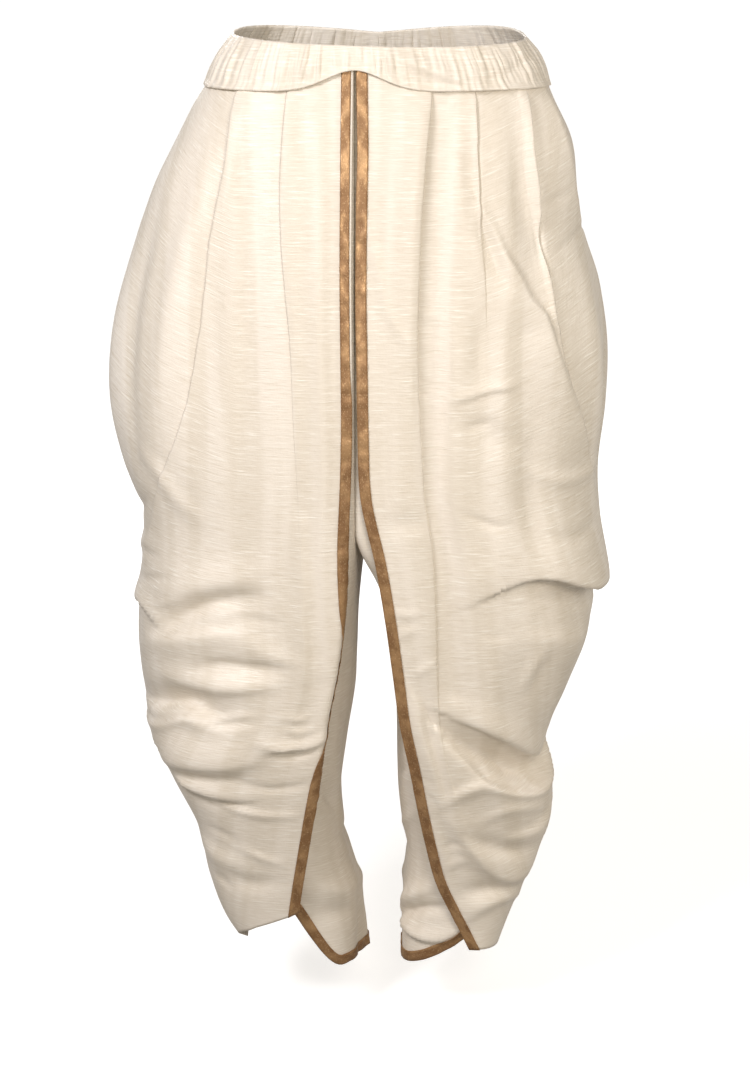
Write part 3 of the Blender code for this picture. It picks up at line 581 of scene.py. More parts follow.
# %% [markdown]
# ## The drapes
#
# Each drape runs from its gold edge at the centre front, across its pleats and round the hip to the back
# seam. Its columns follow the pleats, so a pleat's edge stays one clean line of faces from the waist down.
# Near the waist seam the pleats are pressed flat, and the tops lean out to the band so that no light shows
# between them. The front edge of the right drape is lifted a little, which leaves a line of bare ivory
# beside its gold. The weft lies level in front and slants round the side, as it does in a cloth that hangs
# from the hip, so the map of the cloth slants there too.

# %% Make the drapes
FRONT_X = -0.0205
BAND_FALL_AT_FRONT = 0.025
BAND_FRONT_SPREAD = 0.040
BAND_LAP = 0.004
BORDER_WIDTH = 0.0115
BORDER_COLUMNS = 7
COLUMN_STEP = 0.0042
LEAST_COLUMNS = 4
DRAPE_ROWS = 270
HELD_BY_SEAM = 0.020
COUNT_AT_Z = -0.40
TOP_OUT = 0.0018
PRESSED = 0.30
PRESSED_REACH = 0.030
EDGE_LIFT = 0.0022
BARE_DOWN_TO = -0.36
BARE_FADE = 0.06
GRAIN_TURNS = 0.12
GRAIN_REACH = 0.20
GRAIN_SLOPE = 0.40
GRAIN_LEVEL_BELOW = -0.60
GRAIN_FADE = 0.35
PARTS = ("sections", "hem", "pleat_places", "pleats", "folds")
RIGHT_PARTS = (RIGHT_DRAPE, RIGHT_DRAPE_HEM, RIGHT_PLEAT_PLACES, RIGHT_PLEATS, RIGHT_FOLDS)
LEFT_PARTS = (LEFT_DRAPE, LEFT_DRAPE_HEM, LEFT_PLEAT_PLACES, LEFT_PLEATS, LEFT_FOLDS)
DRAPES = {"right": dict(zip(PARTS, RIGHT_PARTS)), "left": dict(zip(PARTS, LEFT_PARTS))}


def band_low_z(x, y):
    """Height of the band's lower seam, which lifts at the centre front."""
    lift = (BAND_FALL - BAND_FALL_AT_FRONT) * np.exp(-(((x - FRONT_X) / BAND_FRONT_SPREAD) ** 2))
    return -BAND_FALL + np.where(y < 0, lift, 0.0)


def column_counts(stops):
    """How many columns each stretch between stops along a section gets."""
    return [max(LEAST_COLUMNS, round(gap / COLUMN_STEP)) for gap in np.diff(stops)]


def drape_runs(side, line, z):
    """How far along its section each pleat of a drape lies."""
    shares = list(at_level(DRAPES[side]["pleat_places"], z).values())[1:]
    return [run_of_share(side, line, share) for share in shares]


def drape_points(side):
    """A drape's grid of points, with each point's place on the unrolled cloth."""
    drape = DRAPES[side]
    line = drape_line(side, COUNT_AT_Z)
    counts = column_counts([0.0, *drape_runs(side, line, COUNT_AT_Z), line.length])
    lead = np.linspace(0.0, BORDER_WIDTH, BORDER_COLUMNS)
    levels = []
    for z in LEVELS:
        line = drape_line(side, z)
        runs = drape_runs(side, line, z)
        places = across_pleats(line.length, runs, drape["pleats"], counts, z, lead)
        levels.append([places[:, 0], places[:, 1], *line.at(places[:, 0]), line.length + 0 * places[:, 0]])
    run, out, x, y, nx, ny, length = np.swapaxes(np.array(levels), 0, 1)
    top = level_at(PLEAT_TOP_Z)
    ankle = level_at(drape["hem"][1])
    widest = run[ankle, int(np.argmax(x[ankle] * SIDES[side]))]
    hem = np.interp(run[ankle], [0.0, widest, length[ankle, 0]], drape["hem"])
    high = band_low_z(x[top], y[top]) + BAND_LAP
    z = high + (hem - high) * np.linspace(0.0, 1.0, DRAPE_ROWS)[:, None]
    run, out, x, y, nx, ny, length = [read_levels(values, z) for values in (run, out, x, y, nx, ny, length)]
    out = out * (PRESSED + (1 - PRESSED) * ease((high - z) / PRESSED_REACH))
    out[0] = np.maximum(out[0], TOP_OUT)
    if side == "right":
        out[:, 0] += EDGE_LIFT * ease((z[:, 0] - BARE_DOWN_TO) / BARE_FADE)
    rise, hang = fold_field(drape["folds"], run, z)
    held = ease((length - run) / HELD_BY_SEAM) * ease((high - z) / HELD_BY_SEAM)
    points = stood_out(x, y, nx, ny, out + rise * held, z - hang * held)
    past = np.clip(np.minimum(run - GRAIN_TURNS, GRAIN_TURNS + 2 * GRAIN_REACH - run), 0.0, GRAIN_REACH)
    grain = z - GRAIN_SLOPE * past * ease((z - GRAIN_LEVEL_BELOW) / GRAIN_FADE)
    return points, run, grain


pieces = {}
grids = {}
for side in SIDES:
    grids[side] = drape_points(side)
    name = f"draped_front_{side}"
    pieces[name] = shell(name, *grids[side], DUPION_THICKNESS, side == "right")

# %% [markdown]
# ## The under legs
#
# Under the drapes is a plain narrow leg with a wide seat. Its section has three stretches: a front that
# starts under the drape, an inner side, and a back that runs to the back seam. Above the crotch the inner
# side is left out, because there the two legs are one seat. Each hem falls from its front edge to a rounded
# corner, runs nearly level round the ankle, and rises to the drape's hem at the back seam. The table has
# the columns that both legs share first, in millimetres.

# %% Tables of the under legs
LEG_COLUMNS = (
    "z", "front_y", "back_y", "round_y",
    "right_start", "right_front", "right_back", "right_round",
    "left_start", "left_front", "left_back", "left_round",
)
LEG_SECTIONS = (
    LEG_COLUMNS,
    (10, -102, 102, 4, -70, -20.6, 3.9, 4, 30, -20.4, 4.1, 4),
    (-20, -109, 108, 4, -70, -20.6, 3.9, 4, 30, -20.4, 4.1, 4),
    (-60, -117, 120, 4, -70, -20.6, 3.9, 4, 30, -20.4, 4.1, 4),
    (-150, -137, 150, 4, -75, -20.6, 3.9, 4, 34, -20.4, 4.1, 4),
    (-300, -155, 166, 4, -75, -20.6, 3.9, 4, 36, -20.4, 4.1, 4),
    (-420, -160, 160, 4, -78, -20.6, 3.9, 4, 40, -20.4, 4.1, 4),
    (-500, -158, 150, 10, -80, -20.6, 3.9, 8, 50, -19, 4.1, 8),
    (-560, -152, 144, 40, -82, -20.5, -10, 26, 66, 5, 12, 30),
    (-620, -143, 137, 75, -86, -20, -18, 40, 78, 16, 18, 42),
    (-680, -131, 130, 90, -92, -21, -21, 50, 90, 23, 23, 50),
    (-750, -117, 119, 88, -100, -31, -31, 52, 100, 25, 25, 54),
    (-820, -100, 105, 78, -106, -38.5, -38.5, 52, 108, 27, 27, 56),
    (-880, -84, 91, 68, -104, -33, -33, 54, 112, 36, 36, 56),
    (-940, -68, 76, 55, -96, -17, -17, 56, 112, 33, 33, 56),
    (-1030, -55, 56, 44, -84, -6, -6, 56, 104, 31, 31, 56),
)
# Each hem in metres: its height at the front edge and round the ankle, how far along it the corner reaches,
# and its height at the back seam
LEG_HEMS = {"right": (-0.935, -1.018, 0.052, -0.998), "left": (-0.972, -1.020, 0.090, -1.010)}
LEG_FOLDS = {
    "right": (
        (6, 7, -3, 0, 51, 790, 70, 812, 92, 838),
        (5, 5, 2, 0, 40, 600, 58, 613, 77, 625, 90, 640),
        (14, 14, 4, 0, 15, 910, 25, 915, 45, 916, 71, 926, 95, 932),
        (10, 12, -3, 0, 20, 945, 50, 950, 80, 960),
        (12, 12, 3, 0, 60, 690, 74, 764, 95, 822, 110, 880),
        (8, 10, -3, 0, 80, 860, 110, 872, 150, 880, 190, 872),
        (10, 12, 4, 0, 120, 930, 160, 940, 200, 935, 240, 925),
        (10, 12, -3, 0, 140, 970, 180, 978, 230, 970),
    ),
    "left": (
        (5, 6, 2.5, 0, 112, 858, 100, 845, 84, 832, 69, 819),
        (6, 6, -2, 0, 70, 760, 85, 772, 105, 786),
        (10, 9, 7, 1, 110, 955, 99, 948, 70, 927, 52, 917),
        (6, 8, -7, 0, 112, 974, 104, 968, 80, 955, 58, 945, 30, 938),
        (12, 4, 8, 2, 118, 964, 103, 972, 83, 977, 58, 981, 37, 980, 15, 968),
        (12, 12, 3, 0, 70, 690, 84, 764, 100, 822, 110, 880),
        (8, 10, -3, 0, 110, 880, 140, 890, 180, 884),
        (10, 12, 4, 0, 140, 930, 180, 940, 220, 930),
    ),
}

# %% Make the under legs
BACK_X = 0.0040
LEGS_APART = 0.0001
CROTCH_Z = -0.497
CROTCH_DIP = 0.020
LEG_START_BACK = 0.002
BACK_FIRST = 0.006
LEG_ROUNDNESS = 2.0
HEM_FOLDS_LEFT = 0.4
HEM_BORDER_WIDTH = 0.012
LEG_FRONT_COLUMNS = 22
LEG_INNER_COLUMNS = 20
LEG_ROWS_BELOW = 150
LEG_ROWS_ABOVE = 90
HEM_BORDER_ROWS = 5
HEM_LIFT_RUN = 0.070


def clear_of(side, centre, x):
    """x, held to the leg's own side of the centre line."""
    return SIDES[side] * max(SIDES[side] * x, SIDES[side] * centre + LEGS_APART)


def leg_lines(side, z):
    """The plan section of an under leg as three stretches: its front, its inner side and its back."""
    row = at_level(LEG_SECTIONS, z)
    seam = drape_line(side, z).points[-1]
    rx, ry = row[f"{side}_round"] * SIDES[side], row["round_y"]
    front_x = clear_of(side, FRONT_X, row[f"{side}_front"])
    back_x = clear_of(side, BACK_X, row[f"{side}_back"])
    front_y, back_y = row["front_y"], row["back_y"]
    corner = quarter((front_x + rx, front_y), (front_x, front_y + ry), True, LEG_ROUNDNESS)
    front = np.vstack([[[row[f"{side}_start"], front_y + LEG_START_BACK]], corner])
    back_corner = quarter((back_x, back_y - ry), (back_x + rx, back_y), False, LEG_ROUNDNESS)
    t = np.linspace(0.0, 1.0, CURVE_STEPS)[1:]
    reach_x = back_x + rx + (seam[0] - back_x - rx) * t
    reach_y = back_y + (seam[1] - back_y) * ease(t)
    back = np.vstack([back_corner, np.column_stack([reach_x, reach_y])])
    inner = np.array([front[-1], back[0]])
    return [Line(evenly(part, CURVE_STEPS), -SIDES[side]) for part in (front, inner, back)]


def leg_level(side, z, counts):
    """Every column of an under leg at one height: its run, its distance out, its place and its direction."""
    front, inner, back = leg_lines(side, z)
    front_runs = np.linspace(0.0, front.length, LEG_FRONT_COLUMNS)
    inner_runs = np.linspace(0.0, inner.length, LEG_INNER_COLUMNS + 2)[1:-1]
    runs = [share * back.length for share in BACK_PLEAT_SHARES]
    lead = np.array([0.0, BACK_FIRST])
    places = across_pleats(back.length, runs, [BACK_PLEAT] * len(runs), counts, z, lead)
    stretches = (
        (front, 0.0, front_runs, 0 * front_runs),
        (inner, front.length, inner_runs, 0 * inner_runs),
        (back, front.length + inner.length, places[:, 0], places[:, 1]),
    )
    parts = [(start + runs, out, *line.at(runs)) for line, start, runs, out in stretches]
    return [np.concatenate(values) for values in zip(*parts)]


def leg_points(side):
    """An under leg's grid of points from its waist seam down, its unrolled places and its cells."""
    hem_front, hem_round, climb, hem_seam = LEG_HEMS[side]
    length = leg_lines(side, COUNT_AT_Z)[2].length
    counts = column_counts([BACK_FIRST, *(share * length for share in BACK_PLEAT_SHARES), length])
    levels = [leg_level(side, z, counts) for z in LEVELS]
    run, out, x, y, nx, ny = np.swapaxes(np.array(levels), 0, 1)
    top = level_at(PLEAT_TOP_Z)
    ankle_run = run[level_at(hem_round)]
    share = np.clip(ankle_run / climb, 0.0, 1.0)
    hems = hem_round + (hem_front - hem_round) * (1.0 - np.sin(share * math.pi / 2))
    hems += (hem_seam - hem_round) * ease(1.0 - (ankle_run[-1] - ankle_run) / HEM_LIFT_RUN)
    slopes = np.gradient(hems, ankle_run)
    border_z = hems + HEM_BORDER_WIDTH * np.hypot(1.0, slopes)
    column = np.arange(len(hems))
    arch = np.clip((column - LEG_FRONT_COLUMNS + 1) / (LEG_INNER_COLUMNS + 1), 0.0, 1.0)
    crotch_z = CROTCH_Z - CROTCH_DIP * np.sin(math.pi * arch)
    high = band_low_z(x[top], y[top]) + BAND_LAP
    z = np.concatenate([
        high + (crotch_z - high) * np.linspace(0.0, 1.0, LEG_ROWS_ABOVE)[:-1, None],
        crotch_z + (border_z - crotch_z) * np.linspace(0.0, 1.0, LEG_ROWS_BELOW)[:-1, None],
        border_z + (hems - border_z) * np.linspace(0.0, 1.0, HEM_BORDER_ROWS)[:, None],
    ])
    run, out, x, y, nx, ny = [read_levels(values, z) for values in (run, out, x, y, nx, ny)]
    out[0] = np.maximum(out[0], TOP_OUT)
    rise, hang = fold_field(LEG_FOLDS[side], run, z)
    held = HEM_FOLDS_LEFT + (1 - HEM_FOLDS_LEFT) * ease((z - hems) / HELD_BY_SEAM)
    points = stood_out(x, y, nx, ny, out + rise * held, z - hang * held)
    cells = np.ones((z.shape[0] - 1, z.shape[1] - 1), bool)
    cells[: LEG_ROWS_ABOVE - 1, LEG_FRONT_COLUMNS - 1 : LEG_FRONT_COLUMNS + LEG_INNER_COLUMNS] = False
    return points, run, z, cells


leg_grids = {}
for side in SIDES:
    points, run, z, cells = leg_points(side)
    leg_grids[side] = (points, run, z)
    name = f"under_leg_{side}"
    pieces[name] = shell(name, points, run, z, DUPION_THICKNESS, side == "left", cells)

# %% [markdown]
# ## The waistband
#
# Elastic inside the band draws its cloth into short upright crinkles, closer in some places than in others.
# A row of even waves would look like a machine part, so each crinkle has its own place, width and depth,
# drawn from a seeded list of random numbers that is the same on every run. A few soft ridges cross the
# front, where the casing is folded over, and the seam stands out below, less so at the sides. The map of
# the cloth is counted both ways from the centre front.

# %% Make the waistband
BAND_COLUMNS = 900
BAND_ROWS = 24
BAND_OUT = 0.0028
BAND_THICKNESS = 0.0016
BAND_BULGE = 0.0016
BAND_TOP_LIMIT = 0.012
WAIST_LEVELS = 40
WAIST_TOP_LEVEL = 0.0098
CRINKLES = 380
CRINKLE_SEED = 7
CRINKLE_DEPTH = 0.0015
CRINKLE_LEAST = 0.3
CRINKLE_WIDTHS = (0.0011, 0.0030)
CRINKLE_MIDDLES = (0.25, 0.75)
CRINKLE_REACHES = (0.25, 0.6)
CRINKLE_LEAN = 0.004
# Height of the band's top edge, in millimetres, by degrees round from the centre front
BAND_TOP = ((-180, 2), (-115, 10), (-70, 5), (-30, 0), (0, -2), (40, -3), (75, 0), (120, 9), (180, 2))
BAND_FOLDS = (
    (9, 6, 3.4, 0, 26, 7, 60, 17, 95, 31, 124, 40),
    (5, 8, -2.6, 0, 40, 5, 75, 9, 112, 13, 140, 14),
    (7, 6, -2.8, 0, 140, 37, 170, 29, 205, 16, 228, 10),
    (8, 8, 1.8, 0, 600, 12, 640, 20, 690, 28),
    (7, 7, -1.8, 0, 330, 10, 370, 22, 420, 32),
)
SEAM_RIDGE = 0.0032
SEAM_RIDGE_WIDTH = 0.0040
RIDGE_LOW_AT = 92.0
RIDGE_LOW_SPREAD = 16.0
RIDGE_LOW_SHARE = 0.75


def waist_line(z):
    """The whole garment's plan section at the waist, closed, from the centre front round the left side."""
    left_back = leg_lines("left", z)[2].points
    right_back = leg_lines("right", z)[2].points
    loop = [drape_line("left", z).points, left_back[::-1], right_back, drape_line("right", z).points[::-1]]
    points = np.vstack(loop)
    points = evenly(np.vstack([points, points[:1]]), 4 * CURVE_STEPS)
    return Line(eased(points), 1.0)


def band_points():
    """The waistband's grid of points from its top edge down, and its unrolled places."""
    shares = np.arange(BAND_COLUMNS) / BAND_COLUMNS
    low_line = waist_line(-BAND_FALL)
    low_x, low_y = low_line.at(shares * low_line.length)[:2]
    low_z = band_low_z(low_x, low_y)
    angle = np.degrees(np.arctan2(low_x, -low_y))
    top_z = np.minimum(along(BAND_TOP, angle)[:, 1] * MM, BAND_TOP_LIMIT)
    height = np.linspace(1.0, 0.0, BAND_ROWS)[:, None]
    z = low_z + (top_z - low_z) * height
    heights = np.linspace(BAND_TOP_LIMIT, -BAND_FALL, WAIST_LEVELS)
    lines = [waist_line(min(level, WAIST_TOP_LEVEL)) for level in heights]
    at = np.array([line.at(shares * line.length) for line in lines])
    place = (heights[0] - z) / (heights[0] - heights[-1]) * (len(heights) - 1)
    x, y, nx, ny = [read_rows(at[:, k], place) for k in range(4)]
    girth = low_line.length
    run = shares * girth
    draw = np.random.default_rng(CRINKLE_SEED)
    crinkle = np.zeros(z.shape)
    for _ in range(CRINKLES):
        centre, width = draw.uniform(0, girth), draw.uniform(*CRINKLE_WIDTHS)
        middle, reach = draw.uniform(*CRINKLE_MIDDLES), draw.uniform(*CRINKLE_REACHES)
        lean = draw.uniform(-CRINKLE_LEAN, CRINKLE_LEAN)
        gap = run[None, :] - centre - lean * (height - 0.5)
        gap = (gap + girth / 2) % girth - girth / 2
        depth = CRINKLE_DEPTH * draw.uniform(CRINKLE_LEAST, 1.0)
        crinkle += depth * np.exp(-((gap / width) ** 2) - ((height - middle) / reach) ** 4)
    out = BAND_OUT - CRINKLE_DEPTH + crinkle + BAND_BULGE * np.sin(math.pi * height)
    out = out + fold_field(BAND_FOLDS, np.tile(run, (BAND_ROWS, 1)), z)[0]
    at_side = np.exp(-(((np.abs(angle) - RIDGE_LOW_AT) / RIDGE_LOW_SPREAD) ** 2))
    ridge = SEAM_RIDGE * (1 - RIDGE_LOW_SHARE * at_side)
    out = out + ridge * np.exp(-(((z - low_z) / SEAM_RIDGE_WIDTH) ** 2))
    across = np.tile(np.append(run, girth), (BAND_ROWS, 1))
    down = np.column_stack([z, z[:, :1]])
    return stood_out(x, y, nx, ny, out, z), np.minimum(across, girth - across), down


name = "waistband_cloth"
pieces[name] = shell(name, *band_points(), BAND_THICKNESS, False, closed=True)

# %% [markdown]
# ## Gold tissue strips
#
# A strip of gold tissue is sewn along the front edge of each drape and round the hem of each leg. It lies
# on the silk, so it is made from the silk's own points, moved out, and it wrinkles a little on its own
# because tissue is stiffer than the cloth under it. On the right drape it starts a little way in, and the
# bare edge of the silk shows beside it. The hem strips are made from the last rows of each leg.

# %% Make the strips
TISSUE_THICKNESS = 0.0006
TISSUE_OUT = 0.0010
TISSUE_WRINKLE = 0.0008
BARE_EDGE = 0.0018
HEM_SEED = 5
WAVES = 14
WAVE_LENGTHS = (0.006, 0.030)
WAVE_SLANT = 0.9
WAVE_STARTS = (0, 6.3)
WAVES_SOFTENED = 4


def wrinkled(run, down, seed):
    """Small uneven ripples for stiff tissue, from seeded waves of several lengths."""
    draw = np.random.default_rng(seed)
    ripple = np.zeros(run.shape)
    for _ in range(WAVES):
        length, slant = draw.uniform(*WAVE_LENGTHS), draw.uniform(-WAVE_SLANT, WAVE_SLANT)
        start = draw.uniform(*WAVE_STARTS)
        ripple += np.sin(2 * math.pi * (down + slant * run) / length + start)
    return ripple / WAVES_SOFTENED


def tissue(name, points, across, down, seed, outward):
    """A strip of tissue laid on the silk's own points."""
    out = TISSUE_OUT + TISSUE_WRINKLE * (1 + wrinkled(across, down, seed)) / 2
    laid = moved_out(points, out, outward)
    pieces[name] = shell(name, laid, across, down, TISSUE_THICKNESS, outward)
    return laid


strips = {}
for seed, side in enumerate(SIDES):
    points, run, z = [values[:, :BORDER_COLUMNS] for values in grids[side]]
    if side == "right":
        bare = BARE_EDGE / BORDER_WIDTH * ease((z[:, :1] - BARE_DOWN_TO) / BARE_FADE)
        place = (bare + (1 - bare) * np.linspace(0.0, 1.0, BORDER_COLUMNS)) * (BORDER_COLUMNS - 1)
        points = np.stack([read_rows(points[..., k].T, place.T).T for k in range(3)], axis=-1)
        run = read_rows(run.T, place.T).T
    strips[side] = tissue(f"gold_strip_{side}", points, run, z, seed, side == "right")
    points, run, z = [values[-HEM_BORDER_ROWS:] for values in leg_grids[side]]
    tissue(f"gold_hem_{side}", points, z, run, seed + HEM_SEED, side == "left")

# %% [markdown]
# ## Stitches
#
# The strips are held by a row of small stitches along each edge. Each stitch is a tiny spindle of thread,
# and all the stitches of a row are one mesh, which is lighter than hundreds of objects.

# %% Make the stitches
STITCH_LENGTH = 0.0022
STITCH_APART = 0.0036
STITCH_RADIUS = 0.00035
STITCH_SIDES = 6
STITCH_INSET = 0.24
# Along a stitch, as shares of its length, and how thick it is there
STITCH_RINGS = ((0.0, 0.25), (0.25, 1.0), (0.75, 1.0), (1.0, 0.25))


def stitches(name, route):
    """A row of stitches along a route of points."""
    run = measured(route)
    count = int(run[-1] / STITCH_APART) - 1
    points, faces = [], []
    for k in range(count):
        ends = [STITCH_APART * (k + 0.5), STITCH_APART * (k + 0.5) + STITCH_LENGTH]
        start, end = [np.array([np.interp(place, run, axis) for axis in route.T]) for place in ends]
        along_it = (end - start) / np.linalg.norm(end - start)
        side_on = np.cross(along_it, (0.0, 1.0, 0.0))
        side_on /= np.linalg.norm(side_on)
        other = np.cross(along_it, side_on)
        first = len(points)
        for share, size in STITCH_RINGS:
            centre = start + (end - start) * share
            for corner in range(STITCH_SIDES):
                turn = 2 * math.pi * corner / STITCH_SIDES
                spoke = math.cos(turn) * side_on + math.sin(turn) * other
                points.append(centre + STITCH_RADIUS * size * spoke)
        last = first + (len(STITCH_RINGS) - 1) * STITCH_SIDES
        for ring in range(first, last, STITCH_SIDES):
            for corner in range(STITCH_SIDES):
                a = ring + corner
                b = ring + (corner + 1) % STITCH_SIDES
                faces.append([a, b, b + STITCH_SIDES, a + STITCH_SIDES])
        faces.append([first + corner for corner in reversed(range(STITCH_SIDES))])
        faces.append([last + corner for corner in range(STITCH_SIDES)])
    mesh = bpy.data.meshes.new(name)
    mesh.from_pydata([tuple(point) for point in points], [], faces)
    mesh.shade_smooth()
    print(f"{name}: {count} stitches")
    return in_scene(name, mesh)


for side in SIDES:
    strip = strips[side]
    on_top = moved_out(strip, TISSUE_THICKNESS / 2, side == "right") - strip
    for edge, column, beside in (("inner", 0, 1), ("outer", -1, -2)):
        route = strip[:, column] * (1 - STITCH_INSET) + strip[:, beside] * STITCH_INSET
        name = f"strip_stitches_{edge}_{side}"
        pieces[name] = stitches(name, route + on_top[:, column])

# %% [markdown]
# ## Shader maths
#
# A material is a graph of nodes, and sums in it are tedious to wire by hand. This small class holds one
# socket of the graph. Adding or multiplying two of them adds the Math node and wires it, so a recipe for
# silk reads as a line of arithmetic.

# %% A socket that can be added and multiplied
class Wire:
    """One output of a material's node tree."""

    def __init__(self, tree, socket=None):
        self.tree = tree
        self.socket = socket

    def node(self, kind, settings=(), inputs=(), output=0):
        """A new node: its settings first, then the values or wires of its sockets."""
        made = self.tree.nodes.new(kind)
        for name, value in dict(settings).items():
            setattr(made, name, value)
        for name, value in dict(inputs).items():
            if isinstance(value, Wire):
                self.tree.links.new(value.socket, made.inputs[name])
            else:
                made.inputs[name].default_value = value
        return Wire(self.tree, made.outputs[output])

    def maths(self, operation, first, second):
        return self.node("ShaderNodeMath", {"operation": operation}, {0: first, 1: second})

    def __add__(self, other):
        return self.maths("ADD", self, other)

    def __rsub__(self, other):
        return self.maths("SUBTRACT", other, self)

    def __mul__(self, other):
        return self.maths("MULTIPLY", self, other)

    __radd__ = __add__
    __rmul__ = __mul__

    def stretched(self, x, y):
        """The map of the cloth, scaled for a pattern that many times a metre each way."""
        settings = {"operation": "MULTIPLY"}
        return self.node("ShaderNodeVectorMath", settings, {0: self, 1: (x, y, 1.0)})

    def noise(self, detail=2.0, roughness=0.5):
        """Smooth random values over this map."""
        inputs = {"Vector": self, "Scale": 1.0, "Detail": detail, "Roughness": roughness}
        return self.node("ShaderNodeTexNoise", {}, inputs)

    def between(self, low, high):
        """0 below low, 1 above high, and a smooth climb between."""
        settings = {"interpolation_type": "SMOOTHSTEP"}
        return self.node("ShaderNodeMapRange", settings, {"Value": self, "From Min": low, "From Max": high})

    def mixed(self, first, second):
        """One colour where this is 0 and another where it is 1."""
        settings = {"data_type": "RGBA"}
        return self.node("ShaderNodeMix", settings, {"Factor": self, 6: first, 7: second}, output=2)


def new_material(name, settings):
    """A Principled material with its steady values set, its shader, and the map of the cloth."""
    material = bpy.data.materials.new(name)
    material.use_nodes = True
    tree = material.node_tree
    shader = tree.nodes["Principled BSDF"]
    for socket, value in settings.items():
        shader.inputs[socket].default_value = value
    cloth = Wire(tree).node("ShaderNodeTexCoord", output="UV")
    return material, shader, cloth


def feed(shader, **wires):
    """Links wires to the shader's sockets, with spaces written as underscores."""
    for name, wire in wires.items():
        wire.tree.links.new(wire.socket, shader.inputs[name.replace("_", " ")])


# %% [markdown]
# ## Ivory dupion
#
# Dupion is woven with a weft that has thick places, called slubs: thin bright lines a few centimetres long
# that all run across the cloth. An image could show them, but noise that is stretched far more across than
# down makes the same lines at any size. A finer noise makes the threads between them, and the gaps between
# slubs and threads are darkened as painted shade, more at the sides. A slow upright noise paints bands of
# shade in a deeper ivory, where satin turns from the light. A painted sheen turns the silk pearl at the
# sides, and in front it stays warm. The bump is small, because the slubs are only felt, and puckers of
# several sizes break the shine.

# %% Paint the silk
IVORY_WARM = (0.800, 0.728, 0.628, 1.0)
# The pearl is a painted sheen, laid on round the sides
IVORY_PEARL_SHEEN = (0.775, 0.720, 0.640, 1.0)
IVORY_SHADE = (0.550, 0.470, 0.340, 1.0)
SLUB_LIGHT = (0.930, 0.890, 0.800, 1.0)
# How far round from the gold edge the painted pearl sheen takes over from the warm ivory, and how
# unevenly, in metres
PEARL_SHEEN_FROM = 0.22
PEARL_SHEEN_FULL = 0.35
PEARL_SHEEN_UNEVEN = 0.10
# How strongly each pattern tints the silk; the band and gap tints are painted shade. A second number is
# what is added in patches or at the sides
SHADE_BAND_TINT = 0.28
SLUB_TINT = (0.36, 0.34)
THREAD_TINT = 0.24
GAP_SHADE_TINT = (0.24, 0.20)
THREAD_GAP_SHADE_TINT = 0.16

ivory, shader, cloth = new_material(
    "ivory dupion",
    {"Metallic": 0.0, "Sheen Weight": 0.12, "Sheen Roughness": 0.35, "Specular IOR Level": 0.5},
)
run = cloth.node("ShaderNodeSeparateXYZ", inputs={0: cloth})
bands = cloth.stretched(26.0, 1.6).noise(2.0)
# How far round the side the painted pearl sheen has taken over
at_side = (run + PEARL_SHEEN_UNEVEN * bands).between(PEARL_SHEEN_FROM, PEARL_SHEEN_FULL)
slubs = cloth.stretched(32.0, 600.0).noise(3.0, 0.6)
threads = cloth.stretched(64.0, 1250.0).noise(2.0, 0.6)
patches = cloth.stretched(24.0, 16.0).noise(2.0).between(0.38, 0.62)
puckers = cloth.stretched(115.0, 38.0).noise(4.0, 0.6)
crinkle = cloth.stretched(60.0, 85.0).noise(4.0, 0.65)
fine = cloth.stretched(230.0, 300.0).noise(3.0, 0.6)
slub_lines = slubs.between(0.54, 0.68)
thread_lines = threads.between(0.50, 0.66)
gaps = slubs.between(0.46, 0.32)
# Painted sheen: pearl round the sides, warm ivory in front
base = at_side.mixed(IVORY_WARM, IVORY_PEARL_SHEEN)
# Painted shade: slow upright bands of deeper ivory
with_shade_bands = (bands.between(0.42, 0.60) * SHADE_BAND_TINT).mixed(base, IVORY_SHADE)
bright = slub_lines * (SLUB_TINT[0] + SLUB_TINT[1] * patches) + thread_lines * THREAD_TINT
lined = bright.mixed(with_shade_bands, SLUB_LIGHT)
# Painted shade in the gaps between slubs and threads, more at the sides
deep = gaps * (GAP_SHADE_TINT[0] + GAP_SHADE_TINT[1] * at_side) + threads.between(0.48, 0.34) * THREAD_GAP_SHADE_TINT
shaded = deep.mixed(lined, IVORY_SHADE)
height = slubs * 0.55 + threads * 0.30 + puckers * 0.60 + crinkle * 0.50 + fine * 0.30
bump = cloth.node("ShaderNodeBump", {}, {"Strength": 0.55, "Distance": 0.0013, "Height": height})
roughness = 0.45 - 0.10 * slub_lines + 0.05 * patches
feed(shader, Base_Color=shaded, Roughness=roughness, Normal=bump)
print("Silk:", len(ivory.node_tree.nodes), "nodes")

# %% [markdown]
# ## Gold tissue
#
# Tissue has a metal thread in its weft, so it is half metal and half cloth. It is a bronze gold rather than
# a bright one, with painted shade in the hollows of its crumples.

# %% Paint the tissue and the thread
GOLD = (0.430, 0.255, 0.120, 1.0)
GOLD_DARK = (0.260, 0.140, 0.060, 1.0)
GOLD_LIGHT = (0.640, 0.430, 0.240, 1.0)

gold, shader, cloth = new_material("gold tissue", {"Metallic": 0.45, "Specular IOR Level": 0.5})
weave = cloth.stretched(900.0, 420.0).noise(1.0)
crumple = cloth.stretched(60.0, 34.0).noise(4.0, 0.6)
crumple_tops = crumple.between(0.40, 0.62)
# Painted shade: the hollows of the crumple, which also shape the bump, get the darker gold
tint = crumple_tops.mixed(GOLD_DARK, GOLD)
glint = (weave.between(0.58, 0.72) * 0.6).mixed(tint, GOLD_LIGHT)
height = weave * 0.3 + crumple
bump = cloth.node("ShaderNodeBump", {}, {"Strength": 0.6, "Distance": 0.0012, "Height": height})
feed(shader, Base_Color=glint, Roughness=0.52 - 0.14 * crumple_tops, Normal=bump)

thread, shader, cloth = new_material("bronze thread", {"Metallic": 0.2, "Roughness": 0.5})
twist = cloth.node("ShaderNodeTexCoord", output="Object").stretched(900.0, 900.0).noise(1.0)
feed(shader, Base_Color=twist.mixed(GOLD_DARK, GOLD))

for name, piece in pieces.items():
    finish = thread if "stitches" in name else gold if "gold" in name else ivory
    piece.data.materials.append(finish)
